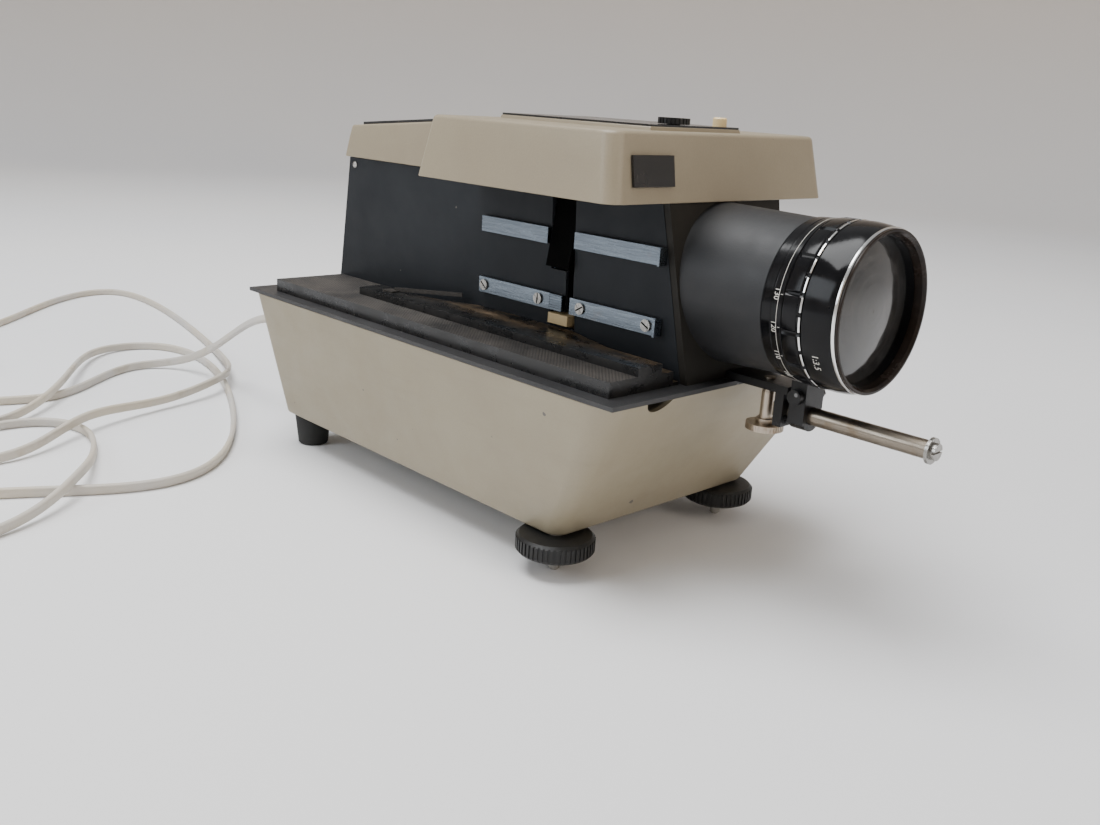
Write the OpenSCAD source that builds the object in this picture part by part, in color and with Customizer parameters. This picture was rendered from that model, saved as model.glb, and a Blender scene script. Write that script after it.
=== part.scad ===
// Slide projector with a side tray channel, a zoom lens and a mains lead.
// X runs along the lens axis, towards the screen. The tray runs along the -Y side. Z is up.
// Lengths below count from the rim's rear end (x), the rim's near side (y) and the floor (z).

/* [Base] */
// Length of the base at its rim
rim_len = 298; // [290:1:300]
// Width of the base at its rim
base_w = 177; // [174:1:180]
// Height of the rim above the floor
rim_z = 95; // [95:1:95]
// Height of the base's underside above the floor
base_z = 19; // [19:1:19]
// How far each side wall leans in, from rim to underside
side_lean = 16.5; // [14:0.5:17]
// How far the front wall leans in
front_lean = 44; // [40:1:46]
// How far the rear wall leans in
rear_lean = 9; // [7:1:10]
// Wall of the base casting
base_wall = 2.5; // [2:0.5:3]

/* [Housing] */
// Height of the lens axis above the floor
axis_z = 138.3; // [138.3:0.1:138.3]
// Distance of the lens axis from the rim's near side
axis_y = 89.4; // [89.4:0.1:89.4]
// Underside of the covers
cover_z = 174.3; // [174.3:0.1:174.3]
// Height of the covers
cover_h = 29.4; // [28:0.1:30]
// Sheet of the housing
sheet = 1.8; // [1.5:0.1:2]

/* [Lens] */
// Outer radius of the lens barrel, which slides in the tube
barrel_r = 32.6; // [32.6:0.01:32.6]
// Play between the barrel and its tube
barrel_play = 0.05; // [0.03:0.01:0.08]
// Largest radius of the lens rings
ring_r = 36.2; // [36.2:0.1:36.8]
// Front end of the lens
lens_front = 361.8; // [361:0.1:363]
// Radius of the guide rod under the lens
rod_r = 4; // [4:0.1:4]
// Front end of the guide rod, which is the object's front end
total_len = 394; // [394:1:394]

/* [Feet] */
// Radius of the knurled foot knobs
knob_r = 19; // [17:0.5:19]
// Height of the foot knobs above the surface
knob_z = 7.5; // [7.5:0.5:9]
// Radius of the foot screws
foot_r = 4; // [4:0.1:4]
// Distance of the foot screws from the rim's rear end
foot_x = 247.5; // [247.5:0.5:247.5]

/* [Lead] */
// Radius of the mains lead
lead_r = 3; // [3:0.1:3]
// Mean radius of the lead's coil
coil_r = 33; // [33:1:33]

/* [Hidden] */
$fn = 64;
slide_pitch = PI;
gear_teeth = 16;
gear_pitch_r = gear_teeth / 2;
gear_y = 66;
gear_z = 101;
gate_x = [203.5, 219.5];
slot_x = [214, 219.2];
wall_lean = 0.05;
rear_slope = 0.21;
front_slope = 0.2;
panel_depth = 3.5;
near_y = 54.1;
far_y = 127.6;
cover_top = cover_z + cover_h;
rod_z = 87.6;
near_foot_y = 23;
far_foot_y = 146;
hinge_z = 169.5;
flap_rest = 10;
pad_top = cover_top + 1.6;
hood_rise = 0.079;
knob_pos = [256, 72];
button_pos = [256, 105];
coil_centre = [-454, -212];
plug_y = coil_centre[1] - coil_r - lead_r;

// Points that draw the lead's free stretch along, from its strain relief to its coil,
// in the part's own frame
lead_route = [
    [-222, -45, 66], [-268, -46, 62], [-320, -44, 32], [-378, -46, 4], [-400, -82, 3],
    [-360, -126, 3], [-334, -160, 3], [-354, -196, 3], [-350, -246, 3], [-300, -246, 3],
    [-296, -192, 3], [-348, -143, 14], [-462, -90, 3], [-450, -28, 3], [-370, -26, 3],
    [-260, -66, 3], [-160, -122, 3], [-142, -172, 3], [-172, -222, 3], [-200, -280, 3],
    [-164, -324, 3], [-120, -290, 3], [-134, -240, 3], [-162, -204, 14], [-210, -180, 3],
    [-262, -160, 3], [-302, -184, 3], [-288, -250, 3], [-236, -262, 3], [-228, -208, 3],
    [-267, -166, 14], [-286, -108, 3], [-298, -50, 14], [-360, -18, 3], [-540, 24, 3],
    [-700, 38, 3], [-672, -38, 3], [-584, -108, 3], [-512, -196, 3], [-478, -234, 3]
];

// ---------- shared shapes ----------

// Moves the counted lengths to the part's own frame: middle of the length and width, on the floor
module seat() {
    translate([-total_len / 2, -base_w / 2, 0]) children();
}

// A block between two corners
module block(low, high) {
    translate(low) cube(high - low);
}

// A block whose walls lean: x and y spans at the bottom and at the top
module taper_block(x_low, x_high, y_low, y_high, z) {
    intersection() {
        rotate([90, 0, 0]) linear_extrude(1000, center = true)
            polygon([[x_low[0], z[0]], [x_low[1], z[0]], [x_high[1], z[1]], [x_high[0], z[1]]]);
        rotate([90, 0, 90]) linear_extrude(1000, center = true)
            polygon([[y_low[0], z[0]], [y_low[1], z[0]], [y_high[1], z[1]], [y_high[0], z[1]]]);
    }
}

// Turns its children back to front about the plane at x
module mirror_x(x) {
    translate([2 * x, 0, 0]) mirror([1, 0, 0]) children();
}

// A cylinder along X
module x_rod(r, x, y, z) {
    translate([x[0], y, z]) rotate([0, 90, 0]) cylinder(r = r, h = x[1] - x[0]);
}

// A cylinder along Y
module y_rod(r, x, y, z) {
    translate([x, y[1], z]) rotate([90, 0, 0]) cylinder(r = r, h = y[1] - y[0]);
}

// A turned piece on the lens axis: its outline is a list of [radius, x]
module turned(outline) {
    translate([0, axis_y, axis_z]) rotate([0, 90, 0]) rotate_extrude($fn = 96) polygon(outline);
}

// A plain ring on the lens axis
module lens_ring(r_in, r_out, x) {
    turned([[r_in, x[0]], [r_out, x[0]], [r_out, x[1]], [r_in, x[1]]]);
}

// The outline of a bulging glass face from its edge to its middle; side is 1 for the front face
function bulge_outline(r, x, bulge, side, steps = 8) =
    let (sphere_r = (r * r + bulge * bulge) / (2 * bulge))
    [for (i = [0 : steps]) let (h = r * (1 - i / steps))
        [h, x + side * (sqrt(sphere_r * sphere_r - h * h) - sphere_r + bulge)]];
function reversed(list) = [for (i = [len(list) - 1 : -1 : 0]) list[i]];

// A lens with two bulging faces: x holds its edge's two ends
module bulged_lens(r, x, bulge) {
    turned(concat(bulge_outline(r, x[1], bulge, 1), reversed(bulge_outline(r, x[0], bulge, -1))));
}

// A lens with a flat rear face and a bulging front face
module flat_backed_lens(r, x, bulge) {
    turned(concat(bulge_outline(r, x[1], bulge, 1), [[0, x[0]], [r, x[0]]]));
}

// ---------- base ----------

function base_x(z) = [rear_lean * (rim_z - z) / (rim_z - base_z),
                      rim_len - front_lean * (rim_z - z) / (rim_z - base_z)];
function base_y(z) = [side_lean * (rim_z - z) / (rim_z - base_z),
                      base_w - side_lean * (rim_z - z) / (rim_z - base_z)];

module base_solid(inset, z) {
    shrink = [inset, -inset];
    taper_block(base_x(z[0]) + shrink, base_x(z[1]) + shrink,
                base_y(z[0]) + shrink, base_y(z[1]) + shrink, z);
}

module base_trough() {
    color([0.74, 0.71, 0.63]) seat() difference() {
        union() {
            difference() {
                base_solid(0, [base_z, rim_z - 1]);
                base_solid(base_wall, [base_z + base_wall, rim_z + 1]);
            }
            intersection() {
                base_solid(0.5, [base_z, rim_z - 1]);
                foot_bosses();
            }
        }
        block([30, 35, base_z - 1], [232, 142, base_z + base_wall + 1]);
        for (y = [near_foot_y, far_foot_y])
            translate([foot_x, y, base_z - 1]) cylinder(r = foot_r + 0.05, h = 30);
        x_rod(9, [rim_len - 16, rim_len + 4], 31, rim_z + 2.5);
        x_rod(5.05, [-4, 12], 43.5, 66);
    }
}

module foot_bosses() {
    for (y = [near_foot_y, far_foot_y])
        translate([foot_x, y, base_z]) cylinder(r = 8, h = 18);
}

module base_plate() {
    color([0.30, 0.30, 0.31]) seat() difference() {
        block([30.3, 35.3, base_z + 0.2], [231.7, 141.7, base_z + 2.2]);
        for (x = [100 : 9 : 172])
            block([x, 60, base_z - 1], [x + 4, 118, base_z + 4]);
    }
}

module deck_plate() {
    color([0.22, 0.23, 0.24]) seat() difference() {
        block([0, 0, rim_z - 1], [rim_len, base_w, rim_z + 1]);
        block([24, 56, rim_z - 2], [278, 122, rim_z + 2]);
        for (x = [90 : 10 : 230])
            block([x, 136, rim_z - 2], [x + 4.5, 164, rim_z + 2]);
    }
}

module rear_feet() {
    color([0.06, 0.06, 0.06]) seat()
        for (y = [29, 148])
            translate([23, y, 0]) rotate_extrude()
                polygon([[0, 0], [8, 0], [9, 1], [11, base_z], [0, base_z]]);
}

module foot_screw(y) {
    color([0.62, 0.62, 0.60]) seat() translate([foot_x, y, 0]) {
        rotate_extrude() polygon([[0, 0], [1.8, 0], [2.7, 0.9], [2.7, knob_z - 1.5], [foot_r, knob_z - 0.2],
                                  [foot_r, 42], [0, 42]]);
    }
}

module foot_knob(y) {
    notches = 48;
    color([0.05, 0.05, 0.05]) seat() translate([foot_x, y, knob_z]) difference() {
        rotate_extrude() polygon([[foot_r + 0.05, 0], [12, 0], [15, 0.8], [knob_r - 1.2, 2.2], [knob_r, 3.6],
                                  [knob_r, 9.4], [knob_r - 1.6, 10.9], [foot_r + 0.05, 10.9]]);
        for (i = [0 : notches - 1])
            rotate([0, 0, i * 360 / notches]) translate([knob_r - 0.5, -0.6, -1]) cube([2, 1.2, 16]);
    }
}

module near_foot_screw() { foot_screw(near_foot_y); }
module far_foot_screw() { foot_screw(far_foot_y); }
module near_foot_knob() { foot_knob(near_foot_y); }
module far_foot_knob() { foot_knob(far_foot_y); }

// ---------- tray deck ----------

// Height of the ridge that the tray runs on
ridge_z = rim_z + 12;

module tray_channel() {
    floor_z = rim_z + 1;
    color([0.07, 0.07, 0.07]) seat() union() {
        block([18, 8, floor_z], [288, 53, floor_z + 1.5]);
        block([18, 8, floor_z], [288, 25.6, rim_z + 8.1]);
        block([18, 8, floor_z], [78, 53, rim_z + 8.1]);
        block([77.9, 40.9, floor_z], [288, 49, rim_z + 7.6]);
        // Ridge, which widens to the wall beside the slot
        translate([0, 0, floor_z]) linear_extrude(ridge_z - floor_z)
            polygon([[78, 25.5], [288, 25.5], [288, 41], [254, 42.2], [219, 52.9], [150, 52.9], [120, 41],
                     [78, 41]]);
    }
}

module tray_spring() {
    color([0.62, 0.61, 0.58]) seat() {
        translate([98, 35, ridge_z + 0.1]) rotate([0, -4, 17]) cube([45, 0.5, 2.2]);
        block([92, 31, ridge_z], [101, 37, ridge_z + 0.7]);
    }
}

// ---------- housing ----------

function wall_near(z) = near_y - wall_lean * (z - rim_z);
function wall_far(z) = far_y + wall_lean * (z - rim_z);
function wall_rear(z) = 13.5 + rear_slope * (z - rim_z);
function wall_front(z) = 291.8 - front_slope * (z - rim_z);

module housing_solid(inset, front_add, z) {
    taper_block([wall_rear(z[0]) + inset, wall_front(z[0]) + front_add],
                [wall_rear(z[1]) + inset, wall_front(z[1]) + front_add],
                [wall_near(z[0]) + inset, wall_far(z[0]) - inset],
                [wall_near(z[1]) + inset, wall_far(z[1]) - inset], z);
}

module housing_shell() {
    color([0.20, 0.21, 0.22]) seat() difference() {
        union() {
            difference() {
                housing_solid(0, -panel_depth - 0.05, [rim_z + 1, cover_z]);
                housing_solid(sheet, 9, [rim_z, cover_z + 1]);
            }
            for (x = [gate_x[0] - 3, gate_x[1] + 0.5])
                block([x, 51.6, hinge_z - 3.5], [x + 2.5, 57, hinge_z + 2.3]);
        }
        block([gate_x[0], 44, 135], [gate_x[1], 57, cover_z + 1]);
        block([slot_x[0], 44, 108], [slot_x[1], 57, 136]);
        block([gate_x[0], 44, 107.4], [gate_x[1] + 1, 57, 115]);
        x_rod(1.05, [gate_x[0] - 4, gate_x[1] + 4], 54.4, hinge_z);
        for (x = [40 : 8 : 88])
            block([x, 120, 112], [x + 4, 140, 160]);
    }
}

module front_panel() {
    color([0.22, 0.23, 0.24]) seat() difference() {
        intersection() {
            housing_solid(0.3, 0, [rim_z + 1, cover_z]);
            rotate([90, 0, 0]) linear_extrude(400, center = true)
                polygon([[wall_front(rim_z) - panel_depth, rim_z], [wall_front(rim_z) + 9, rim_z],
                         [wall_front(cover_z) + 9, cover_z],
                         [wall_front(cover_z) - panel_depth, cover_z]]);
        }
        x_rod(34.95, [250, 310], axis_y, axis_z);
    }
}

module top_plate() {
    color([0.25, 0.25, 0.26]) seat() difference() {
        housing_solid(sheet + 0.1, -panel_depth - 0.4, [cover_z - 2, cover_z - 0.2]);
        block([85, 68, cover_z - 4], [140, 112, cover_z + 2]);
        for (x = [40 : 9 : 76])
            block([x, 66, cover_z - 4], [x + 5, 114, cover_z + 2]);
        x_rod(36, [258, 300], axis_y, axis_z);
    }
}

module upper_strips() {
    color([0.75, 0.76, 0.77]) seat() {
        block([154.2, 48.6, 147.2], [203.3, 50.9, 155]);
        block([221.6, 48.6, 147.2], [276.4, 50.9, 155]);
        block([275.4, 46.2, 147.2], [276.6, 48.6, 155]);
    }
}

module lower_strips() {
    color([0.75, 0.76, 0.77]) seat() difference() {
        union() {
            block([152, 50.1, 115.4], [205.4, 52.5, 123.4]);
            block([219.5, 50.1, 115.4], [275.6, 52.5, 123.4]);
            block([274.6, 47.7, 115.4], [275.8, 50.1, 123.4]);
        }
        for (x = strip_screw_x) y_rod(1.6, x, [49, 54], 119.4);
    }
}

strip_screw_x = [156.2, 197.6, 226.9, 268.8];

module strip_screws() {
    color([0.70, 0.70, 0.68]) seat()
        for (x = strip_screw_x) difference() {
            union() {
                y_rod(2.8, x, [49.2, 50.0], 119.4);
                y_rod(1.5, x, [49.2, 52.6], 119.4);
            }
            translate([x, 49, 119.4]) rotate([0, 40, 0]) cube([8, 0.7, 0.8], center = true);
        }
}

module gate_end_block() {
    color([0.66, 0.66, 0.65]) seat() difference() {
        block([205.7, 49.9, 115.6], [slot_x[0], 52.5, 123.2]);
        for (z = [116.6 : 1.2 : 122.6])
            block([205, 49, z], [slot_x[0] + 1, 50.4, z + 0.4]);
    }
}

module slot_flap() {
    color([0.03, 0.03, 0.03]) seat() translate([0, 54.4, hinge_z]) rotate([-flap_rest, 0, 0]) {
        difference() {
            block([gate_x[0] + 0.3, -0.6, -33.3], [gate_x[1] - 0.3, 0.6, 0]);
            translate([gate_x[1] + 6, 0, -37.5]) rotate([0, -20, 0]) cube([6, 8, 12], center = true);
        }
        x_rod(1.3, [gate_x[0] + 0.3, gate_x[1] - 0.3], 0, 0);
        x_rod(1, [gate_x[0] - 2.6, gate_x[1] + 2.6], 0, 0);
    }
}

module gate_frame() {
    color([0.45, 0.45, 0.44]) seat() union() {
        difference() {
            union() {
                block([gate_x[0] - 2.2, 64, 115], [gate_x[0] - 0.4, 115, 167]);
                block([gate_x[1] + 0.4, 64, 115], [gate_x[1] + 2.2, 115, 167]);
            }
            block([190, axis_y - 19, axis_z - 19], [230, axis_y + 19, axis_z + 19]);
        }
        block([gate_x[0] - 2.2, 64, 115], [slot_x[0] - 0.1, 115, 117]);
        block([slot_x[1] + 0.1, 64, 115], [gate_x[1] + 2.2, 115, 117]);
        block([gate_x[0] - 2.2, 113, 115], [gate_x[1] + 2.2, 115, 122]);
    }
}

// ---------- slide changer ----------

rack_top = gear_z + gear_pitch_r + 1.25;

module changer_arm() {
    color([0.86, 0.80, 0.62]) seat() union() {
        block([205.5, 49.8, rack_top], [219, 122, 114]);
        block([205.5, 49.8, 109], [219, 53.4, 114]);
        for (k = [-1 : 15])
            translate([206, gear_y + (k + 0.5) * slide_pitch, rack_top]) rotate([90, 0, 90])
                linear_extrude(12) polygon([[-0.75, 0.05], [-0.35, -2.05], [0.35, -2.05], [0.75, 0.05]]);
    }
}

module changer_pinion() {
    root_r = gear_pitch_r - 1.25;
    tip_r = gear_pitch_r + 0.8;
    color([0.85, 0.84, 0.78]) seat() translate([207, gear_y, gear_z]) rotate([90, 0, 90]) union() {
        cylinder(r = root_r, h = 10);
        translate([0, 0, -2]) cylinder(r = 1.5, h = 26);
        for (i = [0 : gear_teeth - 1])
            rotate([0, 0, 90 + i * 360 / gear_teeth]) linear_extrude(10)
                polygon([[root_r * cos(5.5) - 0.2, -root_r * sin(5.5)], [tip_r * cos(2.2), -tip_r * sin(2.2)],
                         [tip_r * cos(2.2), tip_r * sin(2.2)], [root_r * cos(5.5) - 0.2, root_r * sin(5.5)]]);
    }
}

module drive_motor() {
    color([0.50, 0.50, 0.50]) seat() difference() {
        union() {
            x_rod(14, [223, 256], gear_y + 8, gear_z);
            block([224, gear_y - 2, rim_z - 6], [254, gear_y + 18, gear_z]);
            x_rod(4, [219.8, 224], gear_y, gear_z);
        }
        x_rod(1.55, [219, 234], gear_y, gear_z);
    }
}

// ---------- light path ----------

module optical_bed() {
    color([0.55, 0.55, 0.53]) seat() difference() {
        union() {
            block([78, 62, 98], [196, 120, 100]);
            for (x = [78, 186])
                for (y = [62, 110])
                    block([x, y, rim_z - 6], [x + 10, y + 10, 98]);
            for (x = [137, 155, 172])
                block([x, 62, 100], [x + 2.5, 117, 167]);
        }
        x_rod(26.05, [130, 150], axis_y, axis_z);
        x_rod(26.05, [165, 180], axis_y, axis_z);
        block([150, axis_y - 24, axis_z - 24], [160, axis_y + 24, axis_z + 24]);
        translate([112, axis_y, 90]) cylinder(r = 8.1, h = 20);
        for (x = [136, 158])
            block([x - 8, 70, 96], [x, 110, 101]);
    }
}

module condenser_lenses() {
    color([0.80, 0.90, 0.92, 0.5]) seat() {
        flat_backed_lens(26, [135, 141], 9);
        mirror_x(161.5) flat_backed_lens(26, [147, 153], 9);
    }
}

module heat_filter() {
    color([0.70, 0.88, 0.84, 0.5]) seat()
        block([155, axis_y - 23.9, axis_z - 23.9], [157.5, axis_y + 23.9, axis_z + 23.9]);
}

module reflector() {
    color([0.85, 0.85, 0.86]) seat() union() {
        difference() {
            translate([112, axis_y, axis_z]) sphere(r = 29, $fn = 96);
            translate([112, axis_y, axis_z]) sphere(r = 27.6, $fn = 96);
            block([96, 50, 100], [150, 130, 180]);
        }
        x_rod(3, [81, 84], axis_y, axis_z);
        block([80.2, axis_y - 4, 100], [82.4, axis_y + 4, axis_z + 4]);
    }
}

module lamp_socket() {
    color([0.88, 0.86, 0.80]) seat() translate([112, axis_y, 0]) union() {
        translate([0, 0, 92]) cylinder(r = 8, h = 20);
        translate([0, 0, 100]) cylinder(r = 11, h = 8);
    }
}

module lamp() {
    color([0.92, 0.94, 0.95, 0.4]) seat() translate([112, axis_y, 0]) union() {
        translate([0, 0, 112]) cylinder(r = 5, h = 12);
        translate([0, 0, 124]) cylinder(r = 7, h = 22);
        translate([0, 0, 146]) sphere(r = 7);
    }
}

// ---------- cooling and supply ----------

fan_x = 136;

module fan_housing() {
    color([0.12, 0.12, 0.12]) seat() difference() {
        block([fan_x - 38, axis_y - 38, 56], [fan_x + 38, axis_y + 38, 76]);
        translate([fan_x, axis_y, 50]) cylinder(r = 34.5, h = 40);
        for (x = [-33, 33])
            for (y = [-33, 33])
                translate([fan_x + x, axis_y + y, 50]) cylinder(r = 2.2, h = 40);
    }
}

module fan_motor() {
    color([0.46, 0.45, 0.43]) seat() translate([fan_x, axis_y, 0]) union() {
        translate([0, 0, base_z + 2.2]) cylinder(r = 19, h = 31);
        translate([0, 0, 50]) cylinder(r = 5, h = 6);
        translate([0, 0, 56]) cylinder(r = 2, h = 16);
    }
}

module fan_impeller() {
    blades = 7;
    color([0.10, 0.10, 0.11]) seat() translate([fan_x, axis_y, 58]) union() {
        difference() {
            union() {
                cylinder(r = 10, h = 15);
                for (i = [0 : blades - 1])
                    rotate([0, 0, i * 360 / blades]) intersection() {
                        translate([20, 0, 7.5]) rotate([35, 0, 0]) cube([27, 24, 1.4], center = true);
                        cylinder(r = 32.5, h = 15);
                    }
            }
            translate([0, 0, -1]) cylinder(r = 2.05, h = 20);
        }
    }
}

module transformer_core() {
    color([0.33, 0.33, 0.34]) seat() difference() {
        block([30, 52, base_z + 2.2], [80, 127, base_z + 48]);
        for (z = [base_z + 12, base_z + 29])
            block([20, 64, z], [90, 84, z + 9]);
        for (z = [base_z + 12, base_z + 29])
            block([20, 95, z], [90, 115, z + 9]);
    }
}

module transformer_coil() {
    color([0.60, 0.36, 0.18]) seat() difference() {
        block([24, 84.2, base_z + 12.2], [86, 94.8, base_z + 37.8]);
        block([29.8, 84, base_z + 12], [80.2, 95, base_z + 38]);
    }
}

// ---------- covers ----------

module cover_solid(inset, x_low, x_high, y_low, y_high, z) {
    shrink = [inset, -inset];
    taper_block(x_low + shrink, x_high + shrink, y_low + shrink, y_high + shrink, z);
}

module top_cover() {
    x_low = [146, 278];
    x_high = [153, 273.3];
    y_low = [11.5, 167.3];
    y_high = [15, 161.5];
    color([0.74, 0.71, 0.64]) seat() difference() {
        union() {
            cover_solid(0, x_low, x_high, y_low, y_high, [cover_z, cover_top]);
            block([166, 47, cover_top - 1], [264.5, 111, pad_top]);
        }
        cover_solid(2.5, x_low, x_high, y_low, y_high, [cover_z, cover_top]
                    - [0, 2.5] + [-0.001, 0]);
        translate([knob_pos[0], knob_pos[1], cover_top - 5]) cylinder(r = 3.05, h = 10);
        translate([button_pos[0], button_pos[1], cover_top - 5]) cylinder(r = 3.35, h = 10);
    }
}

module control_panel() {
    color([0.05, 0.05, 0.06]) seat()
        difference() {
            block([167, 48, pad_top], [263.5, 110, pad_top + 0.9]);
            translate([knob_pos[0], knob_pos[1], cover_top]) cylinder(r = 3.05, h = 10);
            translate([button_pos[0], button_pos[1], cover_top]) cylinder(r = 3.35, h = 10);
        }
}

module badge_plate() {
    color([0.03, 0.03, 0.03]) seat()
        translate([277.26, 24.3, cover_z + 6.9]) rotate([0, -9.1, 0])
            cube([1.2, 25.8, 13]);
}

module top_knob() {
    ridges = 24;
    color([0.04, 0.04, 0.04]) seat() translate([knob_pos[0], knob_pos[1], pad_top + 0.9]) union() {
        translate([0, 0, -7]) cylinder(r = 3, h = 8);
        translate([0, 0, -7]) cylinder(r = 5, h = 1.8);
        difference() {
            translate([0, 0, 0.3]) cylinder(r = 7.2, h = 2.7);
            for (i = [0 : ridges - 1])
                rotate([0, 0, i * 360 / ridges]) translate([6.7, -0.3, -1]) cube([2, 0.6, 6]);
        }
    }
}

module release_button() {
    color([0.88, 0.83, 0.70]) seat() translate([button_pos[0], button_pos[1], cover_top]) union() {
        translate([0, 0, -5]) rotate_extrude() polygon([[0, 0], [3.3, 0], [3.3, 11], [2.7, 11.6], [0, 11.6]]);
        translate([0, 0, -6.5]) cylinder(r = 5, h = 3.5);
    }
}

// Top of the lamp cover, which rises towards the front
function hood_top(x) = 192.2 + hood_rise * (x - 26);

module hood_solid(inset, drop) {
    foot_z = cover_z + 0.3 - drop * 0.001;
    intersection() {
        rotate([90, 0, 0]) linear_extrude(400, center = true)
            polygon([[25.4 + inset, foot_z], [144.2 - inset, foot_z],
                     [151.6 - inset, hood_top(151.6) - drop], [28 + inset, hood_top(28) - drop]]);
        rotate([90, 0, 90]) linear_extrude(400)
            polygon([[48.2 + inset, foot_z - 1], [130.6 - inset, foot_z - 1],
                     [127.8 - inset, cover_top], [51 + inset, cover_top]]);
    }
}

module hood_slots() {
    for (x = [46 : 8 : 126])
        block([x, 64, hood_top(46) - 5], [x + 4, 115, cover_top + 4]);
}

module lamp_cover() {
    color([0.74, 0.71, 0.64]) seat() difference() {
        hood_solid(0, 0);
        hood_solid(2.2, 2.2);
        hood_slots();
    }
}

module lamp_grille() {
    color([0.06, 0.06, 0.06]) seat() difference() {
        rotate([90, 0, 0]) translate([0, 0, -121]) linear_extrude(63)
            polygon([[32, hood_top(32)], [136, hood_top(136)],
                     [136, hood_top(136) + 1.8], [32, hood_top(32) + 1.8]]);
        hood_slots();
    }
}

// ---------- lens ----------

module lens_tube() {
    bore = barrel_r + barrel_play;
    color([0.36, 0.37, 0.38]) seat() union() {
        lens_ring(bore, 34.9, [262, 300]);
        difference() {
            turned([[bore, 268], [35.6, 268], [35.6, 297], [34.4, 325.4], [bore, 325.4]]);
            rotate([90, 0, 0]) linear_extrude(400, center = true)
                polygon([[200, 80], [wall_front(80) + 0.1, 80], [wall_front(190) + 0.1, 190], [200, 190]]);
            lens_ring(bore - 1, 34.89, [260, 290]);
        }
    }
}

module lens_barrel() {
    color([0.10, 0.10, 0.10]) seat() union() {
        lens_ring(30.5, barrel_r, [276, 349.3]);
        lens_ring(31.2, barrel_r, [349.3, 357.2]);
        lens_ring(20.1, 30.5, [276, 280]);
    }
}

module scale_ring() {
    color([0.06, 0.06, 0.06]) seat()
        turned([[barrel_r, 325.8], [34.7, 325.8], [35.2, 326.3], [35.6, 336], [barrel_r, 336]]);
}

module zoom_ring() {
    ridges = 12;
    color([0.05, 0.05, 0.05]) seat() difference() {
        lens_ring(barrel_r + 0.05, ring_r, [336.3, 345.5]);
        for (i = [0 : ridges - 1])
            translate([0, axis_y, axis_z]) rotate([i * 360 / ridges, 0, 0])
                block([337.8, -2.2, ring_r - 0.9], [344, 2.2, ring_r + 2]);
    }
}

module front_ring() {
    color([0.06, 0.06, 0.06]) seat()
        turned([[barrel_r, 345.8], [36, 345.8], [36.1, 350], [35.5, 356], [34.9, 359], [barrel_r, 359]]);
}

module bezel_ring() {
    color([0.70, 0.70, 0.70]) seat()
        turned([[31.6, 357.3], [32.55, 357.3], [32.55, 359.05], [34.9, 359.05], [35, 360.8],
                [34.4, lens_front], [31.6, lens_front]]);
}

module front_lens() {
    color([0.60, 0.66, 0.68, 0.5]) seat() bulged_lens(31.1, [349.4, 353.6], 3.4);
}

module rear_lens() {
    color([0.60, 0.66, 0.68, 0.5]) seat() bulged_lens(20, [276.5, 279.5], 2);
}

module zoom_cell() {
    color([0.12, 0.12, 0.12]) seat() lens_ring(24.1, 30.45, [300, 312]);
}

module zoom_lens() {
    color([0.60, 0.66, 0.68, 0.5]) seat() bulged_lens(24, [304, 307], 3);
}

module lens_bracket() {
    plate_y = [axis_y - 8, axis_y + 8];
    color([0.04, 0.04, 0.04]) seat() difference() {
        union() {
            block([292.2, plate_y[0], rim_z + 1.1], [326, plate_y[1], rim_z + 4.6]);
            block([320, plate_y[0], 81], [324.5, plate_y[1], rim_z + 4.6]);
        }
        x_rod(rod_r, [318, 330], axis_y, rod_z);
        translate([311, axis_y, 90]) cylinder(r = 2.55, h = 20);
    }
}

module support_rod() {
    color([0.66, 0.64, 0.60]) seat() union() {
        x_rod(rod_r, [317.6, 390.6], axis_y, rod_z);
        translate([317.6, axis_y, rod_z]) rotate([0, 90, 0]) cylinder(r = 6, h = 2.4, $fn = 6);
    }
}

module rod_end_screw() {
    color([0.72, 0.71, 0.68]) seat() difference() {
        union() {
            x_rod(5.6, [390.6, 392], axis_y, rod_z);
            x_rod(3.6, [392, total_len], axis_y, rod_z);
        }
        block([393, axis_y - 6, rod_z - 0.4], [396, axis_y + 6, rod_z + 0.4]);
    }
}

module guide_clamp() {
    color([0.05, 0.05, 0.05]) seat() difference() {
        union() {
            intersection() {
                block([327, axis_y - 7, 84], [335, axis_y + 7, 104]);
                difference() {
                    block([327, axis_y - 7, 80], [335, axis_y + 7, 104]);
                    x_rod(35.8, [320, 340], axis_y, axis_z);
                }
            }
            x_rod(7, [327, 335], axis_y, rod_z);
        }
        x_rod(rod_r + 0.05, [320, 340], axis_y, rod_z);
        y_rod(1.8, 331, [axis_y - 8, axis_y + 8], 96.5);
    }
}

module clamp_bolt() {
    color([0.10, 0.10, 0.10]) seat() union() {
        y_rod(1.75, 331, [axis_y - 7, axis_y + 9], 96.5);
        y_rod(3.4, 331, [axis_y - 10.4, axis_y - 7], 96.5);
        translate([331, axis_y + 9.5, 96.5]) rotate([90, 0, 0]) cylinder(r = 3.6, h = 2.4, $fn = 6);
    }
}

module thumb_screw() {
    notches = 40;
    color([0.68, 0.66, 0.60]) seat() translate([311, axis_y, 0]) union() {
        translate([0, 0, 80]) cylinder(r = 2.5, h = 20.2);
        translate([0, 0, 80]) cylinder(r = 2.9, h = 13.4);
        translate([0, 0, 77]) cylinder(r = 4.3, h = 3.8);
        difference() {
            translate([0, 0, 75.6]) cylinder(r = 8.7, h = 3);
            for (i = [0 : notches - 1])
                rotate([0, 0, i * 360 / notches]) translate([8.4, -0.25, 74]) cube([2, 0.5, 9]);
        }
    }
}

// ---------- mains lead ----------

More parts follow.
